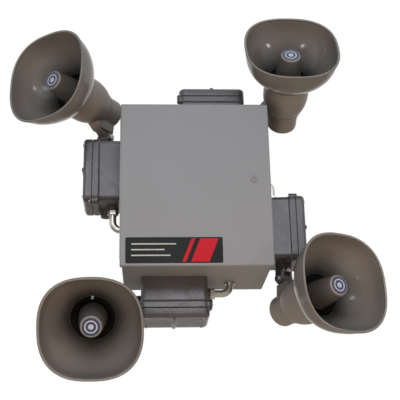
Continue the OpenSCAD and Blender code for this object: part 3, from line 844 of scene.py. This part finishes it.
def open_throat(bm):
    """The casting with the bell's own finish on the faces of the throat."""
    for face in bm.faces:
        middle = face.calc_center_median()
        deep = middle.z > THROAT_FLOOR_Z - SOFT and math.hypot(middle.x, middle.y) < THROAT_R
        face.material_index = 1 if deep else 0
    return bm


for unit in UNITS:
    casting = joined([open_throat(lathe(body_profile(), BODY_POINTS))] + arm_parts())
    node = unit + "_horn_body"
    piece = stand_in(unit + "_casting", casting, node, unit + "_horn", AIM[unit], *CASTING_FINISHES)
print("four castings of", len(piece.data.polygons), "faces each")

# %% [markdown]
# ## The centre plug and its roundel
# A blunt cone stands in the middle of each mouth. Its tip carries a small printed disc: dark blue,
# with a pale ring and a pale spot, so that it stays a plain ornament.

# %% Turn the plugs and lay a roundel on each
PLUG_POINTS = 56
PLUG_STEPS = 10
PLUG_TIP_R = 0.025
PLUG_EDGE_R = 0.004
PLUG_BELLY = 0.0012
ROUNDEL_R = 0.0205
ROUNDEL_T = 0.0006
ROUNDEL_POINTS = 48
RING_SHARES = (0.58, 0.72)
SPOT_SHARE = 0.30
PRINT_T = 0.00015
ROUNDEL_BLUE = painted("roundel_blue", (0.030, 0.042, 0.105), rough=0.34, peel=0.02, cloud=0.05)
ROUNDEL_PALE = painted("roundel_pale", (0.46, 0.48, 0.54), rough=0.36, peel=0.02, cloud=0.04)


def plug_profile():
    """The plug from its base, over a round edge, to its flat tip."""
    profile = [(PLUG_BASE_R - SOFT, PLUG_BASE_Z), (PLUG_BASE_R, PLUG_BASE_Z + SOFT)]
    top = PLUG_TIP_Z - PLUG_EDGE_R
    for k in range(1, PLUG_STEPS + 1):
        share = k / PLUG_STEPS
        radius = PLUG_BASE_R + (PLUG_TIP_R - PLUG_BASE_R) * share
        radius += PLUG_BELLY * math.sin(math.pi * share)
        profile.append((radius, PLUG_BASE_Z + (top - PLUG_BASE_Z) * share))
    profile += [(PLUG_TIP_R - inset, top + rise) for inset, rise in quarter_round(PLUG_EDGE_R)[1:]]
    profile.append((PLUG_TIP_R - PLUG_EDGE_R - SOFT, PLUG_TIP_Z))
    return profile


def roundel():
    """A dark disc with a pale ring and a pale spot."""
    low = PLUG_TIP_Z
    high = low + ROUNDEL_T
    proud = high + PRINT_T
    inner, outer = [share * ROUNDEL_R for share in RING_SHARES]
    spot_r = SPOT_SHARE * ROUNDEL_R
    disc = lathe([(ROUNDEL_R, low), (ROUNDEL_R, high)], ROUNDEL_POINTS)
    section = [(inner, low), (outer, low), (outer, proud), (inner, proud)]
    ring = lathe(section, ROUNDEL_POINTS, looped=True)
    spot = lathe([(spot_r, low), (spot_r, proud)], SMALL_POINTS)
    return joined([in_colour(disc, 0), in_colour(ring, 1), in_colour(spot, 1)])


for unit in UNITS:
    plug = lathe(plug_profile(), PLUG_POINTS)
    node = unit + "_horn_plug"
    stand_in(unit + "_plug", plug, node, unit + "_horn", AIM[unit], FINISH["plug_paint"])
    disc = as_mesh(unit + "_roundel", roundel(), ROUNDEL_BLUE, ROUNDEL_PALE)
    settle(unit + "_roundel", disc, unit + "_horn", AIM[unit])
print("four plugs with roundels of", round(2000 * ROUNDEL_R), "mm")

# %% [markdown]
# ## The amplifier boxes
# Each box is a casting with draft on its sides, a flange round its top, a dark groove and a cover
# with a round edge and a rib across it. All of that is one outline, a rounded rectangle that grows
# and shrinks on its way up. Hubs, pads and the screw lug are turned parts set into the ends. The
# four boxes are the same, so each is made in the frame of its own side: x runs along the side to
# the horn, y is square to the wall and z stands out from the cabinet.

# %% Frames of the four sides, and the box's sizes
back_low, back_high = seen_from(Matrix(), "cabinet_back")
CABINET_W = back_high.x - back_low.x
CABINET_H = back_high.z - back_low.z
BOX_L = 0.162
BOX_D = 0.123
BOX_FROM_END = 0.042
BOX_FROM_WALL = 0.012
BOX_CORNER_R = 0.012
BOX_DRAFT = 0.002
BOX_CENTRE = Vector((-BOX_FROM_END - BOX_L / 2.0, -BOX_FROM_WALL - BOX_D / 2.0, 0.0))
BOX_CONDUIT_X = BOX_CENTRE.x - BOX_L / 2.0
BOX_HORN_X = BOX_CENTRE.x + BOX_L / 2.0
BASE_H = 0.077
FLANGE_Z = 0.062
FLANGE_LIP = 0.0025
FLANGE_FILLET = ((-0.0003, 0.006), (-0.0002, 0.004), (0.0003, 0.0018), (0.0012, 0.0006))
COVER_H = 0.023
COVER_EDGE_R = 0.009
COVER_EDGE_STEPS = 8
GROOVE = 0.0009
GROOVE_H = 0.0014
RIB_R = 0.006
RIB_PROUD = 0.0035
RIB_TIP_R = 1e-5
RIB_POINTS = 32


def side_frame(index):
    """The matrix that carries a side's own frame into the part's frame."""
    length, reach = (CABINET_W, CABINET_H) if index % 2 == 0 else (CABINET_H, CABINET_W)
    turn = Matrix.Rotation(math.radians(90.0 * index), 4, "Y")
    return turn @ Matrix.Translation((length / 2.0, 0.0, reach / 2.0))


SIDE = {unit: side_frame(index) for index, unit in enumerate(UNITS)}
print("cabinet", round(1000 * CABINET_W), "by", round(1000 * CABINET_H), "mm")


# %% Skin the bases and the covers
def box_skin(profile):
    """A skin over the box's outline, from pairs of growth and height."""
    rings = []
    for growth, height in profile:
        outline = rounded_rect(BOX_L + 2.0 * growth, BOX_D + 2.0 * growth, BOX_CORNER_R + growth)
        rings.append([BOX_CENTRE + Vector((x, y, height)) for x, y in outline])
    return skin(rings)


def base_skin():
    """The drafted block, with a fillet up into the flange."""
    wall = [(-BOX_DRAFT, 0.0)] + [(growth, FLANGE_Z - drop) for growth, drop in FLANGE_FILLET]
    band = soft_edge(FLANGE_LIP, FLANGE_Z, 1.0)
    band += [(FLANGE_LIP, FLANGE_Z + 2.0 * SOFT), (FLANGE_LIP, BASE_H - 2.0 * SOFT)]
    return box_skin(wall + band + soft_edge(FLANGE_LIP, BASE_H, -1.0)[::-1])


def cover_skin():
    """The groove, the cover's edge and its rounding up to the flat top."""
    low = BASE_H + GROOVE_H
    high = BASE_H + COVER_H
    profile = [(-GROOVE, BASE_H - SOFT), (-GROOVE, low)] + soft_edge(FLANGE_LIP, low, 1.0)
    profile.append((FLANGE_LIP, low + 2.0 * SOFT))
    for inset, rise in quarter_round(COVER_EDGE_R, COVER_EDGE_STEPS):
        profile.append((FLANGE_LIP - inset, high - COVER_EDGE_R + rise))
    profile.append((FLANGE_LIP - COVER_EDGE_R - SOFT, high))
    return box_skin(profile)


def rib():
    """A half-round rib across the cover, with round ends."""
    half = BOX_D / 2.0 - COVER_EDGE_R / 2.0
    near = [(rise + RIB_TIP_R, -half - (RIB_R - inset) / 2.0) for inset, rise in quarter_round(RIB_R)]
    far = [(radius, -height) for radius, height in reversed(near)]
    place = Matrix.Translation(BOX_CENTRE + Vector((0.0, 0.0, BASE_H + COVER_H - RIB_R + RIB_PROUD)))
    return moved(lathe(near + far, RIB_POINTS), UPRIGHT_TO_Y, place)


print("box outline grows by", round(1000 * FLANGE_LIP, 1), "mm at the flange")

# %% Hubs, pad and lug, and the finished boxes
PLUGGED_HUB = (0.014, 0.014, Vector((BOX_CONDUIT_X, -0.038, 0.046)))
CONDUIT_HUB = (0.0135, 0.008, Vector((BOX_CONDUIT_X, -0.068, 0.028)))
HUB_PLUG = ((0.72, 0.0), (0.68, -0.0012), (0.62, -0.0012), (0.62, 0.0014))
HUB_SOCKET = ((0.62, 0.0014), (0.60, -0.003))
LUG_R = 0.009
LUG_INSET = 0.001
LUG_PLACE = Vector((BOX_CONDUIT_X + LUG_INSET, BOX_CENTRE.y - BOX_D / 2.0 + LUG_R, 0.0))
LUG_GAP = 0.0004
LUG_COVER_H = 0.005
SWIVEL_R = 0.020
SWIVEL_PAD_L = 0.004
SWIVEL_PAD_EDGE = 0.4 * SOFT
SWIVEL_PAD_POINTS = 48
SWIVEL_PLACE = Vector((BOX_HORN_X, -0.060, 0.050))


def hub(radius, reach, place, plugged):
    """A round hub on the box's conduit end; a plugged one has a hexagon socket."""
    profile = [(radius, -BOX_CORNER_R), (radius, reach - SOFT), (radius - SOFT, reach)]
    socket = []
    if plugged:
        profile += [(share * radius, reach + rise) for share, rise in HUB_PLUG]
        socket = [(share * radius, reach + rise) for share, rise in HUB_SOCKET]
    return moved(socket_head(profile, socket), UPRIGHT_TO_MINUS_X, Matrix.Translation(place))


def pad():
    """The round pad that the swivel's flange is bolted to."""
    profile = [(SWIVEL_R, -BOX_CORNER_R), (SWIVEL_R, SWIVEL_PAD_L - SWIVEL_PAD_EDGE)]
    profile.append((SWIVEL_R - SWIVEL_PAD_EDGE, SWIVEL_PAD_L))
    return moved(lathe(profile, SWIVEL_PAD_POINTS), UPRIGHT_TO_X, Matrix.Translation(SWIVEL_PLACE))


def lug(low, high):
    """The screw lug at the corner of the flange or of the cover."""
    band = edge_band(LUG_R, low, high, LUG_R / 2.0)
    return moved(lathe(band, SMALL_POINTS), Matrix.Translation(LUG_PLACE))


for unit in UNITS:
    hubs = [hub(*PLUGGED_HUB, True), hub(*CONDUIT_HUB, False)]
    base = joined([base_skin(), *hubs, pad(), lug(FLANGE_Z, BASE_H)])
    stand_in(unit + "_box_base", base, unit + "_amplifier_base", "cabinet", SIDE[unit])
    cover = joined([cover_skin(), rib(), lug(BASE_H + LUG_GAP, BASE_H + LUG_COVER_H)])
    piece = stand_in(unit + "_box_cover", cover, unit + "_amplifier_cover", "cabinet", SIDE[unit])
print("four boxes, covers of", len(piece.data.polygons), "faces each")

# %% [markdown]
# ## Screws by the row and by the ring
# Screws repeat, so they are set by Geometry Nodes: a ring or a grid of points, one screw on each
# point, all made real and given one finish. The screw itself is a turned head with a hexagon
# socket, and each one is turned a little differently, as a hand leaves them.

# %% Trees that repeat a part on a ring or a grid
SCREW_TURN = 0.7
SCREW_HEAD = ((0.0050, -0.0010), (0.0050, 0.0022), (0.0046, 0.0028), (0.0038, 0.0032))
SCREW_SOCKET = ((0.0050, 0.0033), (0.0047, 0.0014))


def repeat_tree(pattern):
    """A tree that sets one part on every point of a ring or a grid."""
    ring_inputs = {"Count": "Int", "Radius": "Float"}
    grid_inputs = {"Columns": "Int", "Rows": "Int", "Width": "Float", "Depth": "Float"}
    inputs = dict(ring_inputs if pattern == "ring" else grid_inputs)
    inputs.update({"Part": "Object", "Scale": "Float", "Material": "Material"})
    tree, given = geometry_tree("parts_on_a_" + pattern, inputs)
    if pattern == "ring":
        sizes = {"Vertices": given["Count"], "Radius": given["Radius"]}
        points = add(tree, "GeometryNodeMeshCircle", sizes).outputs[0]
        spot = position(tree)
        facing = calc(tree, "ARCTAN2", spot["Y"], spot["X"])
    else:
        sizes = {"Size X": given["Width"], "Size Y": given["Depth"]}
        sizes.update({"Vertices X": given["Columns"], "Vertices Y": given["Rows"]})
        points = add(tree, "GeometryNodeMeshGrid", sizes).outputs["Mesh"]
        facing = calc(tree, "MULTIPLY", add(tree, "GeometryNodeInputIndex").outputs[0], SCREW_TURN)
    turned = add(tree, "ShaderNodeCombineXYZ", {2: facing}).outputs[0]
    turn = add(tree, "FunctionNodeEulerToRotation", {0: turned}).outputs[0]
    part = add(tree, "GeometryNodeObjectInfo", {"Object": given["Part"]}).outputs["Geometry"]
    fed = {"Points": points, "Instance": part, "Rotation": turn, "Scale": given["Scale"]}
    end_tree(tree, add(tree, "GeometryNodeInstanceOnPoints", fed).outputs[0], given["Material"])
    return tree


RING_TREE = repeat_tree("ring")
GRID_TREE = repeat_tree("grid")
print("trees for rings and grids ready")

# %% Screws on the covers, the lugs, the driver cans and the hinge
COVER_SCREW_INSET = 0.013
COVER_SCREWS = {"Columns": 2, "Rows": 2, "Scale": 0.75}
COVER_SCREWS["Width"] = BOX_L - 2.0 * COVER_SCREW_INSET
COVER_SCREWS["Depth"] = BOX_D - 2.0 * COVER_SCREW_INSET
CAN_SCREWS = {"Count": 4, "Radius": 0.025, "Scale": 0.7}
HINGE_SCREWS = {"Columns": 1, "Rows": 8, "Width": 0.0, "Depth": 0.322, "Scale": 0.65}
HINGE_LEAF_Y = -0.206
HINGE_LEAF_T = 0.002

screw_mesh = as_mesh("socket_screw", socket_head(SCREW_HEAD, SCREW_SOCKET))
screw = bpy.data.objects.new("socket_screw", screw_mesh)
bpy.context.scene.collection.objects.link(screw)


def screws(name, tree, values, body, place):
    """Screws in bright steel, repeated by a tree, as one piece."""
    steel = FINISH["bright_steel"]
    mesh = tidied(grow(tree, dict(values, Part=screw, Material=steel)), steel)
    return settle(name, mesh, body, place)


on_cover = Matrix.Translation(BOX_CENTRE + Vector((0.0, 0.0, BASE_H + COVER_H)))
on_can = Matrix.Translation((0.0, 0.0, -CAN_BACK)) @ Matrix.Rotation(math.pi, 4, "X")
on_lug = Matrix.Translation(LUG_PLACE + Vector((0.0, 0.0, BASE_H + LUG_COVER_H)))
on_leaf = Matrix.Translation((-CABINET_W / 2.0 - HINGE_LEAF_T, HINGE_LEAF_Y, 0.0))
up_the_leaf = UPRIGHT_TO_MINUS_X @ Matrix.Rotation(math.radians(90.0), 4, "Z")
for unit in UNITS:
    screws(unit + "_cover_screws", GRID_TREE, COVER_SCREWS, "cabinet", SIDE[unit] @ on_cover)
    screws(unit + "_can_screws", RING_TREE, CAN_SCREWS, unit + "_horn", AIM[unit] @ on_can)
    head = socket_head(SCREW_HEAD, SCREW_SOCKET)
    small_piece(unit + "_lug_screw", head, "bright_steel", "cabinet", SIDE[unit] @ on_lug)
screws("hinge_screws", GRID_TREE, HINGE_SCREWS, "cabinet", on_leaf @ up_the_leaf)
bpy.data.objects.remove(screw)
print("screws on covers, lugs, cans and hinge")

# %% [markdown]
# ## Small things at the throat and on the fork
# A thin bead runs round the place where the bell meets the throat, and a small bent clip sits on
# it. The fork is clamped to its post by a screw in a round boss, which faces the way the horn does.

# %% The clip and bead in the throat, and the fork's clamp screws
THROAT_BEAD_R = 0.0013
THROAT_BEAD_IN_SHARE = 0.4
THROAT_BEAD_POINTS = 8
CLIP_W = 0.006
CLIP_SUNK = 0.0015
CLIP_FOOT = (0.007, CLIP_W, 0.001, -CLIP_SUNK, 0.0010, 4)
CLIP_TAB = (0.0022, CLIP_W, 0.0008, -CLIP_SUNK, 0.0120, 4)
CLIP_TAB_BACK = 0.0024
CLIP_INSET = 0.0035
CLIP_DROP = 0.0020
CLIP_TURN_DEG = 270.0
CLAMP_X = -0.0292
CLAMP_BOSS = ((0.0058, -0.003), (0.0058, 0.0022), (0.0052, 0.0030), (0.0046, 0.0036))
CLAMP_SOCKET = ((0.0052, 0.0036), (0.0049, 0.0018))


def throat_bead():
    """A thin round bead where the bell meets the throat."""
    turns = [2.0 * math.pi * k / THROAT_BEAD_POINTS for k in range(THROAT_BEAD_POINTS)]
    middle = THROAT_R - THROAT_BEAD_IN_SHARE * THROAT_BEAD_R
    ring = [(middle + THROAT_BEAD_R * math.cos(t), NECK_Z + THROAT_BEAD_R * math.sin(t)) for t in turns]
    return lathe(ring, BODY_POINTS, looped=True)


def throat_clip():
    """A small bent tab on the edge of the throat."""
    tab = moved(plate(*CLIP_TAB), Matrix.Translation((-CLIP_TAB_BACK, 0.0, 0.0)))
    edge = Matrix.Translation((THROAT_R - CLIP_INSET, 0.0, NECK_Z - CLIP_DROP))
    turn = Matrix.Rotation(math.radians(CLIP_TURN_DEG), 4, "Z")
    return moved(joined([plate(*CLIP_FOOT), tab]), edge, turn)


def clamp_frame(unit):
    """The clamp screw's place on the fork's hub, facing forward as the horn does."""
    along = SIDE[unit].to_3x3() @ Vector((1.0, 0.0, 0.0))
    forward = AIM[unit].to_3x3() @ Vector((0.0, 0.0, 1.0))
    forward = (forward - forward.dot(along) * along).normalized()
    axis = SIDE[unit] @ Vector((CLAMP_X, SWIVEL_PLACE.y, SWIVEL_PLACE.z))
    place = Matrix((along, forward.cross(along), forward)).transposed().to_4x4()
    place.translation = axis + SWIVEL_R * forward
    return place


for unit in UNITS:
    small_piece(unit + "_throat_bead", throat_bead(), "horn_paint", unit + "_horn", AIM[unit])
    small_piece(unit + "_throat_clip", throat_clip(), "bright_steel", unit + "_horn", AIM[unit])
    boss = socket_head(CLAMP_BOSS, CLAMP_SOCKET)
    small_piece(unit + "_clamp_screw", boss, "bright_steel", unit + "_swivel", clamp_frame(unit))
print("clips, beads and clamp screws set")

# %% [markdown]
# ## The door's plate and latch
# A plain printed plate sits low on the left of the door: black, with two slanting red bars and
# three pale rules. The latch is a round head with a hexagon socket, painted with the door. Its
# shaft, nut and cam show only when the door is open.

# %% The printed plate
PLATE_W = 0.224
PLATE_H = 0.062
PLATE_T = 0.0006
PLATE_CORNER_R = 0.003
PLATE_MIDDLE = Vector((-0.053, 0.0, -0.1665))
BAR_SHARES = ((0.22, 0.41), (0.13, 0.17))
BAR_LEAN_SHARE = 0.18
BAR_H_SHARE = 0.90
RULE_LEFT_SHARE = -0.44
RULE_H_SHARE = 0.05
RULE_SHARES = ((0.24, 0.46), (0.02, 0.34), (-0.20, 0.40))
DOOR_FRONT = seen_from(Matrix(), "door_panel")[0].y
PRINT = dict(rough=0.36, peel=0.02, shine=0.12)
PLATE_BLACK = painted("plate_black", (0.009, 0.010, 0.009), cloud=0.08, **PRINT)
PLATE_RED = painted("plate_red", (0.50, 0.010, 0.022), cloud=0.05, **PRINT)
PLATE_PALE = painted("plate_pale", (0.50, 0.50, 0.49), cloud=0.05, **PRINT)


def slanted_bar(left, right, lean, height):
    """A bar printed on the plate, whose ends lean to the right."""
    half = height / 2.0
    corners = [(left - lean, -half), (right - lean, -half), (right + lean, half), (left + lean, half)]
    return skin([[Vector((x, y, z)) for x, y in corners] for z in (0.0, PLATE_T + PRINT_T)])


def printed_plate():
    """The plate with its bars and rules, flat on the plane z = 0."""
    parts = [in_colour(plate(PLATE_W, PLATE_H, PLATE_CORNER_R, 0.0, PLATE_T), 0)]
    lean = BAR_LEAN_SHARE * PLATE_H
    for left, right in BAR_SHARES:
        bar = slanted_bar(left * PLATE_W, right * PLATE_W, lean, BAR_H_SHARE * PLATE_H)
        parts.append(in_colour(bar, 1))
    left = RULE_LEFT_SHARE * PLATE_W
    for row, length in RULE_SHARES:
        rule = slanted_bar(left, left + length * PLATE_W, 0.0, RULE_H_SHARE * PLATE_H)
        parts.append(in_colour(moved(rule, Matrix.Translation((0.0, row * PLATE_H, 0.0))), 2))
    return joined(parts)


def on_door(place):
    """The matrix that lays a part on the door's front, at a place's x and z."""
    return Matrix.Translation((place.x, DOOR_FRONT, place.z)) @ UPRIGHT_TO_MINUS_Y


mesh = as_mesh("door_plate", printed_plate(), PLATE_BLACK, PLATE_RED, PLATE_PALE)
settle("door_plate", mesh, "door", on_door(PLATE_MIDDLE))
print("plate of", round(1000 * PLATE_W), "by", round(1000 * PLATE_H), "mm")

# %% The latch
LATCH_PLACE = Vector(joints["latch_turn"]["pos_m"])
LATCH_HEAD_R = 0.008
LATCH_HEAD_H = 0.003
LATCH_HEAD_EDGE = ((1.0, -0.0012), (0.94, -0.0003), (0.86, 0.0))
LATCH_SOCKET = ((0.0075, 0.0), (0.0072, -0.0022))
LATCH_SHAFT_R = 0.0045
LATCH_FACE_GAP = 0.0003
LATCH_NUT_ACROSS = 0.0138
LATCH_NUT_Z = (-0.0023, -0.0073)
LATCH_CAM_L = 0.030
LATCH_CAM_W = 0.014
LATCH_CAM_T = 0.003
LATCH_CAM_Y = -0.215
LATCH_CAM_CORNER_SHARE = 0.4999


def latch_parts():
    """Head, shaft, nut and cam, along z with the head at the top."""
    face = LATCH_FACE_GAP + LATCH_HEAD_H
    inside = DOOR_FRONT - LATCH_CAM_Y
    cam_low = inside - LATCH_CAM_T
    profile = [(LATCH_SHAFT_R, cam_low), (LATCH_SHAFT_R, LATCH_FACE_GAP), (LATCH_HEAD_R, LATCH_FACE_GAP)]
    profile += [(share * LATCH_HEAD_R, face + rise) for share, rise in LATCH_HEAD_EDGE]
    head = socket_head(profile, [(across, face + rise) for across, rise in LATCH_SOCKET])
    nut = skin([hex_ring(LATCH_NUT_ACROSS, height) for height in LATCH_NUT_Z])
    corner = LATCH_CAM_CORNER_SHARE * LATCH_CAM_W
    cam = plate(LATCH_CAM_W, LATCH_CAM_L + LATCH_CAM_W / 2.0, corner, cam_low, inside)
    to_cam = Matrix.Translation((0.0, LATCH_CAM_W / 4.0 - LATCH_CAM_L / 2.0, 0.0))
    return [in_colour(head, 0), in_colour(nut, 1), in_colour(moved(cam, to_cam), 1)]


mesh = as_mesh("latch", joined(latch_parts()), FINISH["door_paint"], FINISH["bright_steel"])
settle("latch", mesh, "latch", on_door(LATCH_PLACE), ["door_latch"])
print("latch at", [round(1000 * part) for part in LATCH_PLACE])

# %% [markdown]
# ## Floor, light and world
# The object hangs on a wall that isn't shown, over a plain pale floor. A cool soft lamp stands in
# front of it, with two small ones beside it and a low one under it. Two more small ones at the sides
# put the two spots into the top horn. One hangs above, a warm one below stands for the light that
# comes back off the ground, and one behind serves views of the back. The world is a dim even grey,
# and it is white only to the camera and to reflections.

# %% Floor and world
FLOOR_Z = -1.90
FLOOR_HALF = 14.0
FLOOR_COLOUR = (0.80, 0.72, 0.62)
FLOOR_GLOW = (1.0, 0.99, 0.97, 1.0)
FLOOR_LIFT = 0.14
FLOOR_ROUGHNESS = 0.8
MOTTLE_SCALE = 1.5
MOTTLE_SHADES = (0.97, 1.03)
WORLD_LIGHT = 0.27
WHITE = (1.0, 1.0, 1.0, 1.0)


def shown_to_camera(tree):
    """1 for the rays of the camera, of reflections and of glass, and 0 for the light on the object."""
    ray = add(tree, "ShaderNodeLightPath").outputs
    shown = calc(tree, "MAXIMUM", ray["Is Camera Ray"], ray["Is Glossy Ray"])
    return calc(tree, "MAXIMUM", shown, ray["Is Transmission Ray"])


def pale_floor():
    """A wide pale floor with a faint mottle, lifted a little for the camera."""
    bm = bmesh.new()
    bmesh.ops.create_grid(bm, x_segments=2, y_segments=2, size=FLOOR_HALF)
    material, tree, surface, where = new_material("floor")
    mottle = noise(tree, where, MOTTLE_SCALE, 3.0)
    base = blend_colours(tree, mottle, *[shade(FLOOR_COLOUR, share) for share in MOTTLE_SHADES])
    lift = calc(tree, "MULTIPLY", shown_to_camera(tree), FLOOR_LIFT)
    feed(tree, surface, {"Base Color": base, "Roughness": FLOOR_ROUGHNESS})
    feed(tree, surface, {"Emission Color": FLOOR_GLOW, "Emission Strength": lift})
    floor = bpy.data.objects.new("floor", as_mesh("floor", bm, material))
    floor.location.z = FLOOR_Z
    bpy.context.scene.collection.objects.link(floor)


def studio_world():
    """Even grey light, with white for the camera, reflections and glass."""
    world = bpy.data.worlds.new("studio")
    world.use_nodes = True
    tree = world.node_tree
    strength = stretch(tree, shown_to_camera(tree), 0.0, 1.0, WORLD_LIGHT, 1.0)
    feed(tree, tree.nodes["Background"], {"Color": WHITE, "Strength": strength})
    bpy.context.scene.world = world


pale_floor()
studio_world()
print("floor at", FLOOR_Z, "m, and a world of strength", WORLD_LIGHT)

# %% Lamps
LAMP_AIM = Vector((0.0, -0.15, 0.0))
SKY_BLUE = (0.76, 0.86, 1.0)
HIGH_BLUE = (0.78, 0.88, 1.0)
COOL = (0.88, 0.93, 1.0)
COOL_WHITE = (0.94, 0.97, 1.0)
WARM_WHITE = (1.0, 0.98, 0.96)
GROUND_LIGHT = (1.0, 0.68, 0.42)


def soft_lamp(name, place, size, watts, colour, highlights=True):
    """A round area lamp that looks at the object."""
    light = bpy.data.lights.new(name, "AREA")
    light.shape = "DISK"
    light.size = size
    light.energy = watts
    light.color = colour
    lamp = bpy.data.objects.new(name, light)
    lamp.location = place
    lamp.visible_glossy = highlights
    lamp.visible_camera = False
    lamp.rotation_euler = (LAMP_AIM - Vector(place)).to_track_quat("-Z", "Y").to_euler()
    bpy.context.scene.collection.objects.link(lamp)


soft_lamp("front_sky_lamp", (0.15, -3.0, 1.1), size=1.6, watts=13.0, colour=SKY_BLUE)
soft_lamp("front_left_lamp", (-1.1, -2.9, 1.0), size=0.45, watts=7.5, colour=COOL_WHITE)
soft_lamp("front_right_lamp", (1.3, -2.8, 1.0), size=0.45, watts=5.0, colour=COOL_WHITE)
soft_lamp("low_front_lamp", (0.02, -3.0, 0.64), size=0.50, watts=4.0, colour=COOL)
soft_lamp("left_side_lamp", (-0.89, -1.99, -0.66), size=0.27, watts=5.6, colour=COOL_WHITE)
soft_lamp("right_side_lamp", (1.93, -1.62, -0.44), size=0.27, watts=6.0, colour=COOL_WHITE)
soft_lamp("sky_lamp", (0.3, -0.8, 2.2), size=1.8, watts=6.0, colour=HIGH_BLUE)
soft_lamp("ground_lamp", (0.1, -1.7, -1.1), size=1.8, watts=14.0, colour=GROUND_LIGHT, highlights=False)
soft_lamp("back_lamp", (0.0, 2.8, 0.8), size=1.8, watts=24.0, colour=WARM_WHITE, highlights=False)
print("nine lamps set")

# %% [markdown]
# ## The end
# Looks never change the object's size.

# %% Finish
print("scene built")
